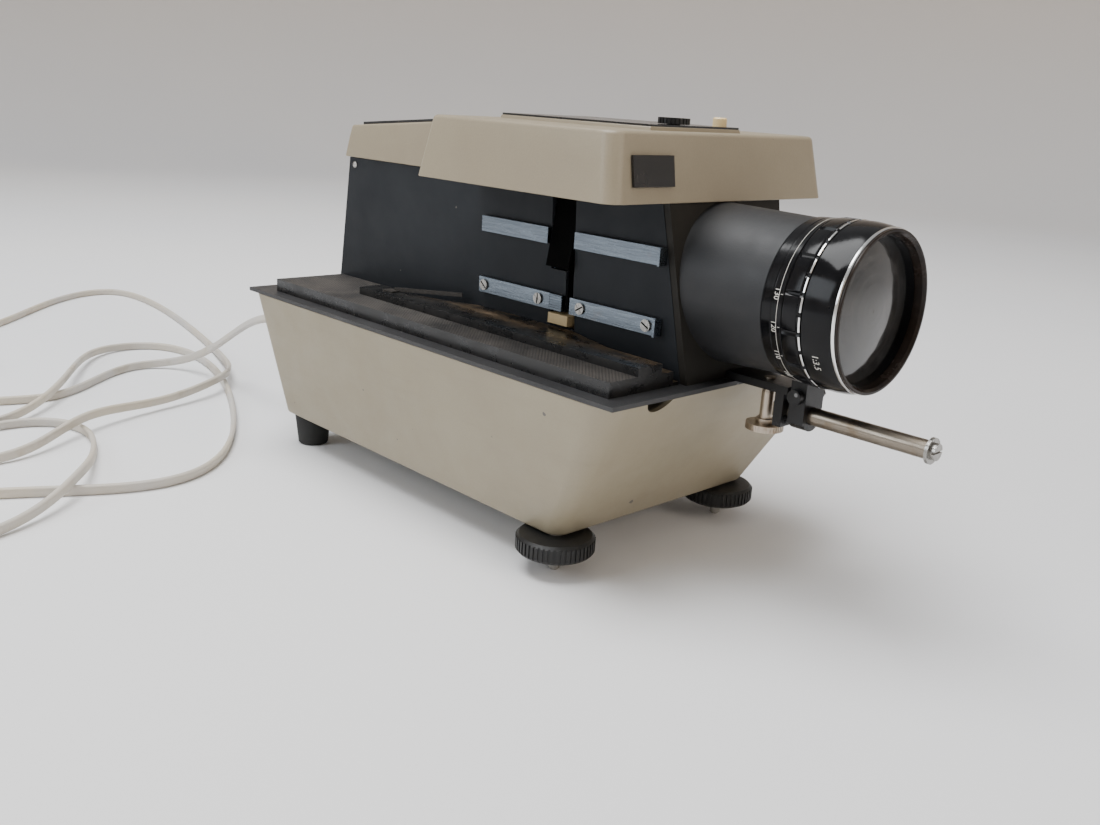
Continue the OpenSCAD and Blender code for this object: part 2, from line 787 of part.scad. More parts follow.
// A point of the smooth curve that the points a, b, c and d draw along, t of the way through its stretch
function curve_point(a, b, c, d, t) =
    (pow(1 - t, 3) * a + (3 * pow(t, 3) - 6 * t * t + 4) * b
     + (-3 * pow(t, 3) + 3 * t * t + 3 * t + 1) * c + pow(t, 3) * d) / 6;
function route_at(i) = lead_route[max(0, min(len(lead_route) - 1, i))];
function unit(v) = v / norm(v);
lead_curve = concat(
    [for (i = [-1 : len(lead_route) - 1]) for (t = [0, 0.5])
        curve_point(route_at(i - 1), route_at(i), route_at(i + 1), route_at(i + 2), t)],
    [lead_route[len(lead_route) - 1]]);
function lead_heading(i) =
    unit(lead_curve[min(i + 1, len(lead_curve) - 1)] - lead_curve[max(i - 1, 0)]);

module swept_lead(r, sides) {
    rings = len(lead_curve);
    points = [for (i = [0 : rings - 1])
        let (along = lead_heading(i), side = unit(cross([0, 0, 1], along)), up = cross(along, side))
        for (k = [0 : sides - 1])
            lead_curve[i] + r * (side * cos(k * 360 / sides) + up * sin(k * 360 / sides))];
    skin = [for (i = [0 : rings - 2]) for (k = [0 : sides - 1])
        [i * sides + k, (i + 1) * sides + k, (i + 1) * sides + (k + 1) % sides, i * sides + (k + 1) % sides]];
    first = [[for (k = [0 : sides - 1]) k]];
    last = [[for (k = [sides - 1 : -1 : 0]) (rings - 1) * sides + k]];
    polyhedron(points, concat(first, skin, last), convexity = 20);
}

module cord_gland() {
    wall_x = -193;
    color([0.12, 0.12, 0.12]) translate([wall_x, -45, 66]) rotate([0, -90, 0]) difference() {
        rotate_extrude() polygon([[0, -6], [5, -6], [5, 1], [6.5, 1], [6.5, 3], [5.2, 4], [4, 29], [0, 29]]);
        for (z = [8 : 5 : 23])
            translate([-10, 3.2, z]) cube([20, 3, 2]);
    }
}

module mains_cord() {
    color([0.84, 0.81, 0.73]) union() {
        swept_lead(lead_r, 8);
        translate([coil_centre[0] + 22, plug_y, lead_r]) rotate([0, 90, 0]) cylinder(r = lead_r, h = 14);
    }
}

module cord_coil() {
    color([0.84, 0.81, 0.73]) translate([coil_centre[0], coil_centre[1], 0]) rotate_extrude()
        polygon([[coil_r - 6, 0], [coil_r + 6, 0], [coil_r + 6, 11], [coil_r + 5, 12], [coil_r - 5, 12],
                 [coil_r - 6, 11]]);
}

module mains_plug() {
    color([0.84, 0.81, 0.73]) translate([coil_centre[0] + 36, plug_y, 0]) union() {
        block([0, -11, 0], [34, 11, 15]);
        for (y = [-6.35, 6.35])
            block([34, y - 0.75, 4.5], [50, y + 0.75, 10.5]);
    }
}

// ---------- output ----------

base_trough();
base_plate();
deck_plate();
tray_channel();
tray_spring();
housing_shell();
front_panel();
top_plate();
top_cover();
control_panel();
badge_plate();
upper_strips();
lower_strips();
strip_screws();
gate_end_block();
gate_frame();
slot_flap();
changer_arm();
changer_pinion();
drive_motor();
optical_bed();
condenser_lenses();
heat_filter();
reflector();
lamp_socket();
lamp();
transformer_core();
transformer_coil();
fan_housing();
fan_motor();
fan_impeller();
lens_tube();
lens_barrel();
scale_ring();
zoom_ring();
front_ring();
bezel_ring();
front_lens();
rear_lens();
zoom_cell();
zoom_lens();
lens_bracket();
guide_clamp();
clamp_bolt();
support_rod();
rod_end_screw();
thumb_screw();
near_foot_screw();
near_foot_knob();
far_foot_screw();
far_foot_knob();
rear_feet();
lamp_cover();
lamp_grille();
top_knob();
release_button();
cord_gland();
mains_cord();
cord_coil();
mains_plug();
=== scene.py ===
"""Slide projector: looks, cord, floor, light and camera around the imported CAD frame. Metres."""

import math
import random

import bmesh
import bpy
from mathutils import Matrix, Vector


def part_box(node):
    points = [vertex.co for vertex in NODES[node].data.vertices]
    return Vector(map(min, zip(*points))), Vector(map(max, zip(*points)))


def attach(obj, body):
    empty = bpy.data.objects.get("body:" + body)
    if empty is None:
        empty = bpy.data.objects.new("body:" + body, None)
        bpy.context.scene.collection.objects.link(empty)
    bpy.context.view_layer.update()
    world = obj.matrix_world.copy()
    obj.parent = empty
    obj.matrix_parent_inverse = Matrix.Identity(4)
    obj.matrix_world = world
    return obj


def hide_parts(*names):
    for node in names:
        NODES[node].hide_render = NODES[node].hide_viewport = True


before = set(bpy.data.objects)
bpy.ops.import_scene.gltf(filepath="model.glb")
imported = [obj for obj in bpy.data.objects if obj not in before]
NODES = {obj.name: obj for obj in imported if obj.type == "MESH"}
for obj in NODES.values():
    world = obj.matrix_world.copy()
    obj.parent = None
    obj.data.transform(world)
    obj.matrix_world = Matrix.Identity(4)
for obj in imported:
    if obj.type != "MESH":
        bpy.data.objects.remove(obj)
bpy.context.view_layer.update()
MM = 0.001
random.seed(7)


# ---------- places taken from the frame ----------

def box(node):
    low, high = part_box(node)
    return Vector(low), Vector(high)


def middle(node):
    low, high = box(node)
    return (low + high) / 2


def rect_at(node, z, tolerance=0.3 * MM):
    """The x and y span of a CAD node's corners at height z: (x low, x high, y low, y high)."""
    flat = [v.co for v in NODES[node].data.vertices if abs(v.co.z - z) < tolerance]
    xs = [p.x for p in flat]
    ys = [p.y for p in flat]
    return min(xs), max(xs), min(ys), max(ys)


AXIS = middle("front_ring")
BASE_LOW, BASE_HIGH = box("base_trough")
COVER_LOW, COVER_HIGH = box("top_cover")
HOOD_LOW, HOOD_HIGH = box("lamp_cover")
PAD_RISE = 1.6 * MM
COVER_TOP = COVER_HIGH.z - PAD_RISE


# ---------- camera ----------

CAMERA_AT = Vector((0.3786, -0.3952, 0.2148))
CAMERA_AZIMUTH, CAMERA_ELEVATION, CAMERA_ROLL = 45.63, 16.49, 3.54
CAMERA_LENS = 34.82


def make_camera():
    az, el, roll = (math.radians(a) for a in (CAMERA_AZIMUTH, CAMERA_ELEVATION, CAMERA_ROLL))
    forward = Vector((-math.sin(az) * math.cos(el), math.cos(az) * math.cos(el), -math.sin(el)))
    right = forward.cross(Vector((0, 0, 1))).normalized()
    up = right.cross(forward)
    cam_x = math.cos(roll) * right + math.sin(roll) * up
    cam_y = -math.sin(roll) * right + math.cos(roll) * up
    data = bpy.data.cameras.new("camera")
    data.lens = CAMERA_LENS
    data.sensor_width = 36
    data.clip_start = 0.02
    data.clip_end = 50
    camera = bpy.data.objects.new("camera", data)
    bpy.context.scene.collection.objects.link(camera)
    turn = Matrix((cam_x, cam_y, -forward)).transposed().to_4x4()
    camera.matrix_world = Matrix.Translation(CAMERA_AT) @ turn
    bpy.context.scene.camera = camera


make_camera()


# ---------- mesh helpers ----------

def new_piece(name, bm, body, replaces=(), smooth_angle=35):
    """Makes an object from a bmesh and declares what it rides on and stands for."""
    bmesh.ops.remove_doubles(bm, verts=bm.verts, dist=1e-7)
    bmesh.ops.recalc_face_normals(bm, faces=bm.faces)
    mesh = bpy.data.meshes.new(name)
    bm.to_mesh(mesh)
    bm.free()
    for face in mesh.polygons:
        face.use_smooth = True
    mesh.set_sharp_from_angle(angle=math.radians(smooth_angle))
    piece = bpy.data.objects.new(name, mesh)
    bpy.context.scene.collection.objects.link(piece)
    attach(piece, body)
    if replaces:
        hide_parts(*replaces)
    return piece


def add_loft(bm, loops, closed=False, cap_start=False, cap_end=False):
    """Joins loops of the same number of points with quads."""
    rings = [[bm.verts.new(p) for p in loop] for loop in loops]
    pairs = list(zip(rings, rings[1:]))
    if closed:
        pairs.append((rings[-1], rings[0]))
    count = len(rings[0])
    for a, b in pairs:
        for i in range(count):
            j = (i + 1) % count
            bm.faces.new((a[i], a[j], b[j], b[i]))
    if cap_start:
        bm.faces.new(list(reversed(rings[0])))
    if cap_end:
        bm.faces.new(rings[-1])
    return rings


def rounded_rect(rect, inset, radius, z, steps=10, rear=None):
    """Points round a rectangle with rounded corners, drawn in by inset. The rear corners may differ."""
    x0, x1, y0, y1 = rect
    x0, x1, y0, y1 = x0 + inset, x1 - inset, y0 + inset, y1 - inset
    front = max(radius, 0.05 * MM)
    rear = front if rear is None else max(rear, 0.05 * MM)
    points = []
    for cx, cy, start, radius in ((x1 - front, y1 - front, 0, front), (x0 + rear, y1 - rear, 90, rear),
                                  (x0 + rear, y0 + rear, 180, rear), (x1 - front, y0 + front, 270, front)):
        for i in range(steps + 1):
            a = math.radians(start + 90 * i / steps)
            points.append(Vector((cx + radius * math.cos(a), cy + radius * math.sin(a), z)))
    return points


def between(rect_a, rect_b, t):
    return tuple(a + (b - a) * t for a, b in zip(rect_a, rect_b))


def add_box(bm, low, high):
    centre = (Vector(low) + Vector(high)) / 2
    size = Vector(high) - Vector(low)
    made = bmesh.ops.create_cube(bm, size=1)
    bmesh.ops.scale(bm, vec=size, verts=made["verts"])
    bmesh.ops.translate(bm, vec=centre, verts=made["verts"])
    return made["verts"]


def axis_point(x, radius, angle):
    """A point round the lens axis: angle 0 is up, and it grows towards -Y."""
    return Vector((x, AXIS.y - radius * math.sin(angle), AXIS.z + radius * math.cos(angle)))


def add_lathe(bm, outline, segments):
    """Turns a closed outline of (x, radius) round the lens axis."""
    rings = []
    for x, radius in outline:
        ring = [bm.verts.new(axis_point(x, radius, 2 * math.pi * i / segments))
                for i in range(segments)]
        rings.append(ring)
    for a, b in zip(rings, rings[1:] + rings[:1]):
        for i in range(segments):
            j = (i + 1) % segments
            bm.faces.new((a[i], a[j], b[j], b[i]))


def cut(piece, cutters):
    """Cuts shapes out of a piece: each is a function that adds a closed shape to a bmesh."""
    bm = bmesh.new()
    for add in cutters:
        add(bm)
    bmesh.ops.recalc_face_normals(bm, faces=bm.faces)
    mesh = bpy.data.meshes.new("cutter")
    bm.to_mesh(mesh)
    bm.free()
    cutter = bpy.data.objects.new("cutter", mesh)
    bpy.context.scene.collection.objects.link(cutter)
    modifier = piece.modifiers.new("cut", "BOOLEAN")
    modifier.operation = "DIFFERENCE"
    modifier.solver = "EXACT"
    modifier.object = cutter
    result = bpy.data.meshes.new_from_object(
        piece.evaluated_get(bpy.context.evaluated_depsgraph_get()))
    piece.modifiers.clear()
    piece.data = result
    bpy.data.objects.remove(cutter)
    for face in result.polygons:
        face.use_smooth = True
    result.set_sharp_from_angle(angle=math.radians(35))


def cylinder_cutter(centre, axis, radius, depth, segments=48):
    """A function that adds a cylinder along an axis, for cut()."""
    def add(bm):
        made = bmesh.ops.create_cone(bm, cap_ends=True, segments=segments, radius1=radius,
                                     radius2=radius, depth=depth)
        turn = Vector((0, 0, 1)).rotation_difference(Vector(axis)).to_matrix().to_4x4()
        bmesh.ops.transform(bm, matrix=Matrix.Translation(centre) @ turn, verts=made["verts"])
    return add


def box_cutter(low, high):
    return lambda bm: add_box(bm, low, high)


def bevel(piece, width, segments=2, angle=40):
    modifier = piece.modifiers.new("edge", "BEVEL")
    modifier.width = width
    modifier.segments = segments
    modifier.limit_method = "ANGLE"
    modifier.angle_limit = math.radians(angle)
    modifier.use_clamp_overlap = True
    modifier.harden_normals = False


# ---------- materials ----------

class Graph:
    """A short way to write a node material. Positions are in metres, in the row frame."""

    def __init__(self, name):
        self.material = bpy.data.materials.new(name)
        self.material.use_nodes = True
        self.nodes = self.material.node_tree.nodes
        self.links = self.material.node_tree.links
        self.shader = self.nodes["Principled BSDF"]
        self.place = self.nodes.new("ShaderNodeTexCoord").outputs["Object"]

    def put(self, socket, value):
        if isinstance(value, bpy.types.NodeSocket):
            self.links.new(value, socket)
        elif isinstance(value, (tuple, list)) and len(value) == 3 and socket.type == "RGBA":
            socket.default_value = (*value, 1)
        else:
            socket.default_value = value

    def set(self, **sockets):
        for name, value in sockets.items():
            self.put(self.shader.inputs[name.replace("_", " ")], value)

    def stretch(self, scale):
        node = self.nodes.new("ShaderNodeMapping")
        self.links.new(self.place, node.inputs["Vector"])
        node.inputs["Scale"].default_value = scale
        return node.outputs["Vector"]

    def noise(self, scale, detail=3.0, rough=0.55, vector=None):
        node = self.nodes.new("ShaderNodeTexNoise")
        self.links.new(vector or self.place, node.inputs["Vector"])
        node.inputs["Scale"].default_value = scale
        node.inputs["Detail"].default_value = detail
        node.inputs["Roughness"].default_value = rough
        return node.outputs["Fac"]

    def ramp(self, value, low, high, to_low=0.0, to_high=1.0):
        node = self.nodes.new("ShaderNodeMapRange")
        self.put(node.inputs["Value"], value)
        limits = {"From Min": low, "From Max": high, "To Min": to_low, "To Max": to_high}
        for name, number in limits.items():
            node.inputs[name].default_value = number
        return node.outputs["Result"]

    def math(self, operation, a, b=0.0):
        node = self.nodes.new("ShaderNodeMath")
        node.operation = operation
        self.put(node.inputs[0], a)
        self.put(node.inputs[1], b)
        return node.outputs[0]

    def mix(self, factor, a, b):
        node = self.nodes.new("ShaderNodeMix")
        node.data_type = "RGBA"
        self.put(node.inputs["Factor"], factor)
        self.put(node.inputs[6], a)
        self.put(node.inputs[7], b)
        return node.outputs[2]

    def part(self, axis):
        node = self.nodes.new("ShaderNodeSeparateXYZ")
        self.links.new(self.place, node.inputs[0])
        return node.outputs[axis]

    def facing(self, axis):
        """How much the true surface faces along an axis of the row frame."""
        node = self.nodes.new("ShaderNodeNewGeometry")
        split = self.nodes.new("ShaderNodeSeparateXYZ")
        self.links.new(node.outputs["Normal"], split.inputs[0])
        return split.outputs[axis]

    def bump(self, height, distance):
        node = self.nodes.new("ShaderNodeBump")
        self.put(node.inputs["Height"], height)
        node.inputs["Distance"].default_value = distance
        node.inputs["Strength"].default_value = 1.0
        return node.outputs["Normal"]


def painted(name, colour, shade, rough, grain=900, grain_depth=0.00006, chips=None, chip_limit=0.86,
            metallic=0.0, coat=0.0, blotch=18, streaks=0.0, shine=0.5):
    """Paint or moulded plastic: blotches, fine grain, small chips and uneven gloss."""
    g = Graph(name)
    cloud = g.ramp(g.noise(blotch, 4.0, 0.6), 0.35, 0.68)
    base = g.mix(cloud, colour, shade)
    fine = g.noise(grain, 2.0, 0.6)
    base = g.mix(g.ramp(fine, 0.35, 0.75, 0.0, 0.22), base, tuple(c * 0.8 for c in shade))
    if streaks:
        smear = g.noise(30, 3.0, 0.6, g.stretch((0.6, 1.0, 6.0)))
        base = g.mix(g.ramp(smear, 0.55, 0.75, 0.0, streaks), base, tuple(c * 0.72 for c in shade))
    if chips:
        spot = g.ramp(g.noise(230, 1.0, 0.4), chip_limit - 0.1, chip_limit - 0.08)
        rare = g.ramp(g.noise(26, 1.0, 0.4), 0.58, 0.6)
        base = g.mix(g.math("MULTIPLY", spot, rare), base, chips)
    gloss = g.ramp(g.noise(blotch * 3, 3.0, 0.6), 0.3, 0.7, rough - 0.05, rough + 0.09)
    g.set(Base_Color=base, Roughness=gloss, Metallic=metallic, Coat_Weight=coat, Coat_Roughness=0.2,
          Specular_IOR_Level=shine, Normal=g.bump(fine, grain_depth))
    return g.material


def brushed(name, colour, shade, rough, along="x", metallic=1.0, stain=None, stain_limit=0.56):
    """Metal with fine lines along one direction and light stains."""
    g = Graph(name)
    scale = {"x": (1, 30, 30), "y": (30, 1, 30), "z": (30, 30, 1)}[along]
    lines = g.noise(60, 3.0, 0.65, g.stretch(scale))
    base = g.mix(g.ramp(lines, 0.3, 0.7), colour, shade)
    if stain:
        patch = g.ramp(g.noise(70, 5.0, 0.65), stain_limit, stain_limit + 0.14, 0.0, 0.75)
        base = g.mix(patch, base, stain)
    gloss = g.ramp(lines, 0.3, 0.7, rough, rough + 0.14)
    g.set(Base_Color=base, Roughness=gloss, Metallic=metallic, Normal=g.bump(lines, 0.00003))
    return g.material


def glassy(name, tint, rough=0.02, coat_tint=None):
    """Clear glass with a faint haze."""
    g = Graph(name)
    haze = g.ramp(g.noise(40, 4.0, 0.6), 0.4, 0.75, rough, rough + 0.08)
    g.set(Base_Color=tint, Roughness=haze, Transmission_Weight=1.0, IOR=1.5)
    if coat_tint:
        g.set(Coat_Weight=0.5, Coat_Tint=coat_tint, Coat_Roughness=0.03)
    return g.material


def hazy_glass():
    """The front glass: dusty, so that it looks grey, with faint painted rings, lighter, in place of the
    rims of the lenses seen behind it.
    """
    g = Graph("front_glass")
    across = g.math("SUBTRACT", g.part(1), AXIS.y)
    upward = g.math("SUBTRACT", g.part(2), AXIS.z)
    squares = [g.math("MULTIPLY", offset, offset) for offset in (across, upward)]
    far = g.math("SQRT", g.math("ADD", *squares))
    # painted reflection: lighter rings round the lens axis that stand for the lens rims seen through the
    # glass
    painted_ring_pitch = 7 * MM
    rings = g.math("SINE", g.math("MULTIPLY", far, 2 * math.pi / painted_ring_pitch))
    dust = g.ramp(g.noise(90, 5.0, 0.65), 0.40, 0.72)
    base = g.mix(dust, (0.034, 0.033, 0.033), (0.062, 0.060, 0.059))
    base = g.mix(g.ramp(rings, 0.2, 1.0, 0.0, 0.35), base, (0.085, 0.082, 0.080))
    g.set(Base_Color=base, Roughness=g.ramp(dust, 0.0, 1.0, 0.10, 0.22), Transmission_Weight=0.45, IOR=1.5,
          Coat_Weight=0.6, Coat_Roughness=0.02)
    return g.material


def tray_plastic():
    """Black plastic: a diamond grip on the rail and the rear end, and brown dust on the ridge."""
    low, high = box("tray_channel")
    rail_inner = low.y + 17.4 * MM
    rear_end = low.x + 60 * MM
    ridge_top = high.z - 0.5 * MM
    pitch = 2.0 * MM
    g = Graph("tray_plastic")
    lines = []
    for sign in (1, -1):
        slanted = g.math("ADD", g.part(0), g.math("MULTIPLY", g.part(1), float(sign)))
        wave = g.math("SINE", g.math("MULTIPLY", slanted, 2 * math.pi / pitch))
        lines.append(g.ramp(wave, -0.2, 0.7))
    pyramid = g.math("MULTIPLY", lines[0], lines[1])
    on_rail = g.math("LESS_THAN", g.part(1), rail_inner)
    at_rear = g.math("LESS_THAN", g.part(0), rear_end)
    upward = g.math("GREATER_THAN", g.facing(2), 0.9)
    lower = g.math("LESS_THAN", g.part(2), ridge_top)
    hatched = g.math("MULTIPLY", g.math("MULTIPLY", upward, lower), g.math("MAXIMUM", on_rail, at_rear))
    height = g.math("MULTIPLY", pyramid, hatched)
    worn = g.ramp(g.noise(120, 4.0, 0.65), 0.38, 0.7)
    black = g.mix(worn, (0.006, 0.006, 0.0065), (0.013, 0.0125, 0.012))
    ridge_dust = g.ramp(g.noise(55, 5.0, 0.65, g.stretch((0.5, 1.4, 1))), 0.42, 0.66)
    wall_side = g.ramp(g.part(1), low.y + 22 * MM, low.y + 34 * MM)
    front_part = g.ramp(g.part(0), low.x + 90 * MM, low.x + 150 * MM)
    dusty_place = g.math("MULTIPLY", wall_side, front_part)
    dust = g.math("MULTIPLY", g.math("MULTIPLY", ridge_dust, upward), dusty_place)
    rail_dust = g.math("MULTIPLY", g.math("MULTIPLY", hatched, g.ramp(pyramid, 0.1, 0.6, 1.0, 0.2)),
                       g.ramp(g.noise(30, 4.0, 0.6), 0.36, 0.62, 0.1, 0.75))
    base = g.mix(rail_dust, black, (0.070, 0.061, 0.053))
    base = g.mix(dust, base, (0.17, 0.115, 0.065))
    gloss = g.math("MAXIMUM", g.ramp(worn, 0.0, 1.0, 0.24, 0.42), g.math("MULTIPLY", hatched, 0.62))
    gloss = g.math("MAXIMUM", gloss, g.math("MULTIPLY", dust, 0.85))
    g.set(Base_Color=base, Roughness=gloss, Normal=g.bump(height, 0.0008))
    return g.material


def cord_plastic():
    """Cream cord sheath, greyed in patches."""
    g = Graph("cord_plastic")
    patch = g.ramp(g.noise(9, 4.0, 0.6), 0.38, 0.66)
    base = g.mix(patch, (0.56, 0.50, 0.40), (0.49, 0.475, 0.46))
    grime = g.ramp(g.noise(45, 4.0, 0.65), 0.58, 0.75, 0.0, 0.5)
    base = g.mix(grime, base, (0.33, 0.26, 0.16))
    g.set(Base_Color=base, Roughness=g.ramp(g.noise(80), 0.3, 0.7, 0.42, 0.6),
          Normal=g.bump(g.noise(700, 2.0), 0.00005))
    return g.material


def anodised(name, colour, rough):
    """Black anodised metal with turned lines round the lens axis."""
    g = Graph(name)
    rings = g.noise(700, 2.0, 0.5, g.stretch((1.0, 0.02, 0.02)))
    smudge = g.ramp(g.noise(60, 4.0, 0.65), 0.4, 0.7)
    base = g.mix(smudge, colour, tuple(c * 2.2 for c in colour))
    g.set(Base_Color=base, Roughness=g.ramp(smudge, 0.0, 1.0, rough, rough + 0.13), Metallic=0.0,
          Specular_IOR_Level=0.2, Normal=g.bump(rings, 0.00002))
    return g.material


def windings():
    """Enamelled copper wire wound side by side."""
    g = Graph("windings")
    wave = g.math("SINE", g.math("MULTIPLY", g.part(2), 2 * math.pi / (0.8 * MM)))
    base = g.mix(g.ramp(g.noise(90), 0.3, 0.7), (0.50, 0.20, 0.07), (0.35, 0.13, 0.05))
    g.set(Base_Color=base, Roughness=0.3, Metallic=1.0, Normal=g.bump(wave, 0.0003))
    return g.material


def laminations():
    """Thin steel sheets stacked along Y, under brown varnish."""
    g = Graph("laminations")
    wave = g.math("SINE", g.math("MULTIPLY", g.part(1), 2 * math.pi / (1.0 * MM)))
    base = g.mix(g.ramp(wave, -1.0, 1.0), (0.10, 0.095, 0.09), (0.20, 0.19, 0.18))
    g.set(Base_Color=base, Roughness=g.ramp(g.noise(60), 0.3, 0.7, 0.38, 0.6), Metallic=0.6,
          Normal=g.bump(wave, 0.0002))
    return g.material


BEIGE = painted("base_paint", (0.315, 0.272, 0.190), (0.285, 0.245, 0.170), 0.42, grain=1300,
                grain_depth=0.00005, chips=(0.10, 0.09, 0.08), streaks=0.12)
COVER = painted("cover_plastic", (0.298, 0.252, 0.176), (0.270, 0.228, 0.160), 0.38, grain=1100,
                grain_depth=0.00007, chips=(0.12, 0.10, 0.08), chip_limit=0.87)
SLATE = painted("housing_paint", (0.017, 0.019, 0.022), (0.024, 0.0265, 0.030), 0.46, grain=1500,
                grain_depth=0.00004, chips=(0.12, 0.11, 0.10), streaks=0.25, shine=0.12)
DECK = painted("deck_paint", (0.018, 0.018, 0.019), (0.028, 0.028, 0.029), 0.44, grain=1200,
               chips=(0.2, 0.19, 0.18), chip_limit=0.83)
PANEL = painted("front_panel_paint", (0.020, 0.0185, 0.016), (0.026, 0.024, 0.021), 0.46, grain=1400,
              shine=0.12)
TUBE = painted("tube_paint", (0.018, 0.019, 0.021), (0.024, 0.024, 0.025), 0.48, grain=1400,
               grain_depth=0.00004, metallic=0.1, chips=(0.015, 0.015, 0.015), blotch=30, shine=0.4)
BLACK = painted("panel_black", (0.006, 0.006, 0.007), (0.012, 0.012, 0.013), 0.2, grain=900,
                grain_depth=0.00002, coat=0.3)
MATT_BLACK = painted("matt_black", (0.0015, 0.0015, 0.0015), (0.003, 0.003, 0.003), 0.8, grain=1800,
                   shine=0.03)
MOULDED = painted("moulded_black", (0.008, 0.008, 0.008), (0.016, 0.016, 0.016), 0.42, grain=1600,
                shine=0.35)
OXIDE = painted("black_oxide", (0.006, 0.006, 0.007), (0.012, 0.012, 0.012), 0.3, grain=1300,
                metallic=0.3, chips=(0.2, 0.2, 0.2), chip_limit=0.84)
RUBBER = painted("rubber", (0.014, 0.014, 0.014), (0.022, 0.022, 0.021), 0.8, grain=1700)
CREAM = painted("cream_plastic", (0.55, 0.43, 0.24), (0.48, 0.37, 0.20), 0.4, grain=1500,
                chips=(0.2, 0.13, 0.07), chip_limit=0.82)
IVORY = painted("ivory_plastic", (0.86, 0.66, 0.34), (0.80, 0.60, 0.30), 0.32, grain=1700)
CERAMIC = painted("ceramic", (0.70, 0.67, 0.60), (0.65, 0.61, 0.54), 0.5, grain=1400)
STRIP = brushed("strip_metal", (0.20, 0.235, 0.27), (0.14, 0.165, 0.195), 0.22, "x",
                stain=(0.20, 0.20, 0.21), stain_limit=0.60)
SCREW = brushed("screw_metal", (0.42, 0.41, 0.39), (0.28, 0.27, 0.25), 0.2, "z")
STEEL = brushed("sheet_steel", (0.42, 0.42, 0.41), (0.32, 0.32, 0.32), 0.36, "x")
ZINC = brushed("zinc_plate", (0.50, 0.49, 0.46), (0.38, 0.37, 0.35), 0.34, "z")
SPRING = brushed("spring_steel", (0.07, 0.065, 0.06), (0.045, 0.04, 0.035), 0.45, "x", metallic=0.7)
ROD = brushed("rod_steel", (0.28, 0.245, 0.20), (0.20, 0.17, 0.135), 0.26, "x",
              stain=(0.17, 0.12, 0.07), stain_limit=0.50)
NICKEL = brushed("nickel", (0.50, 0.43, 0.35), (0.38, 0.33, 0.27), 0.3, "z", stain=(0.24, 0.17, 0.10))
CHROME = brushed("chrome", (0.86, 0.86, 0.85), (0.78, 0.78, 0.77), 0.08, "x")
MIRROR = brushed("mirror", (0.90, 0.90, 0.90), (0.86, 0.86, 0.86), 0.04, "y")
LENS_BLACK = anodised("lens_black", (0.0025, 0.0025, 0.003), 0.10)
BEZEL_BROWN = anodised("bezel_brown", (0.012, 0.008, 0.006), 0.2)
GLASS = glassy("lens_glass", (0.86, 0.87, 0.86), 0.03, (0.75, 0.82, 1.0))
HAZY_GLASS = hazy_glass()
LAMP_GLASS = glassy("lamp_glass", (0.95, 0.96, 0.96))
FILTER_GLASS = glassy("filter_glass", (0.72, 0.90, 0.84))
CORD = cord_plastic()
TRAY = tray_plastic()


def dress(node, material, edge=0.0, segments=2):
    """Gives a CAD node its material, and softens its edges."""
    piece = NODES[node]
    piece.data.materials.clear()
    piece.data.materials.append(material)
    if edge:
        bevel(piece, edge, segments)


def paint(piece, material):
    piece.data.materials.clear()
    piece.data.materials.append(material)
    return piece


# ---------- mains lead ----------

LEAD_WIDTH = 6 * MM
LEAD_THICKNESS = 3.6 * MM
COIL_CENTRE = Vector((-454, -212, 0)) * MM
COIL_RADIUS = 33 * MM
COIL_TURNS = 4
LEAD_EXIT = Vector((-222, -45, 66)) * MM
LEAD_ROUTE = [
    (-222, -45, 66), (-268, -46, 62), (-320, -44, 32), (-378, -46, 4), (-400, -82, 3),
    (-360, -126, 3), (-334, -160, 3), (-354, -196, 3), (-350, -246, 3), (-300, -246, 3),
    (-296, -192, 3), (-348, -143, 14), (-462, -90, 3), (-450, -28, 3), (-370, -26, 3),
    (-260, -66, 3), (-160, -122, 3), (-142, -172, 3), (-172, -222, 3), (-200, -280, 3),
    (-164, -324, 3), (-120, -290, 3), (-134, -240, 3), (-162, -204, 14), (-210, -180, 3),
    (-262, -160, 3), (-302, -184, 3), (-288, -250, 3), (-236, -262, 3), (-228, -208, 3),
    (-267, -166, 14), (-286, -108, 3), (-298, -50, 14), (-360, -18, 3), (-540, 24, 3),
    (-700, 38, 3), (-672, -38, 3), (-584, -108, 3), (-512, -196, 3), (-478, -234, 3),
]


def curve_point(a, b, c, d, t):
    return ((1 - t) ** 3 * a + (3 * t ** 3 - 6 * t * t + 4) * b
            + (-3 * t ** 3 + 3 * t * t + 3 * t + 1) * c + t ** 3 * d) / 6


def lead_path(steps=14):
    """The lead's middle line: its free stretch, its coil and the end that enters the plug."""
    route = [Vector(p) * MM for p in LEAD_ROUTE]

    def at(i):
        return route[max(0, min(len(route) - 1, i))]
    path = [LEAD_EXIT + Vector((d, 0, 0)) * MM for d in (15, 10, 5)]
    for i in range(-1, len(route)):
        path += [curve_point(at(i - 1), at(i), at(i + 1), at(i + 2), k / steps) for k in range(steps)]
    path.append(route[-1])
    start = route[-1] - COIL_CENTRE
    start_angle = math.atan2(start.y, start.x) % (2 * math.pi)
    end_angle = 3.5 * math.pi + 2 * math.pi * (COIL_TURNS - 1)
    outer = COIL_RADIUS + 3 * MM
    inner = COIL_RADIUS - 3 * MM
    upper = 9 * MM
    lower = 3 * MM

    def ease(t):
        t = max(0.0, min(1.0, t))
        return t * t * (3 - 2 * t)
    count = 48 * COIL_TURNS
    for i in range(1, count + 1):
        angle = start_angle + (end_angle - start_angle) * i / count
        turn = (angle - start_angle) / (2 * math.pi)
        radius = start.xy.length + (outer - start.xy.length) * ease(turn / 0.2)
        radius += (inner - outer) * ease((turn - 0.95) / 0.25)
        radius += (outer - inner) * ease((turn - 3.0) / 0.25)
        height = lower + (upper - lower) * ease((turn - 1.9) / 0.25)
        path.append(COIL_CENTRE + Vector((radius * math.cos(angle), radius * math.sin(angle), height)))
    plug = box("mains_plug")[0]
    last = path[-1]
    for t in (0.25, 0.5, 0.75, 1.0):
        path.append(Vector((last.x + (plug.x + 1 * MM - last.x) * t, last.y, upper - 1.5 * MM * t)))
    return path


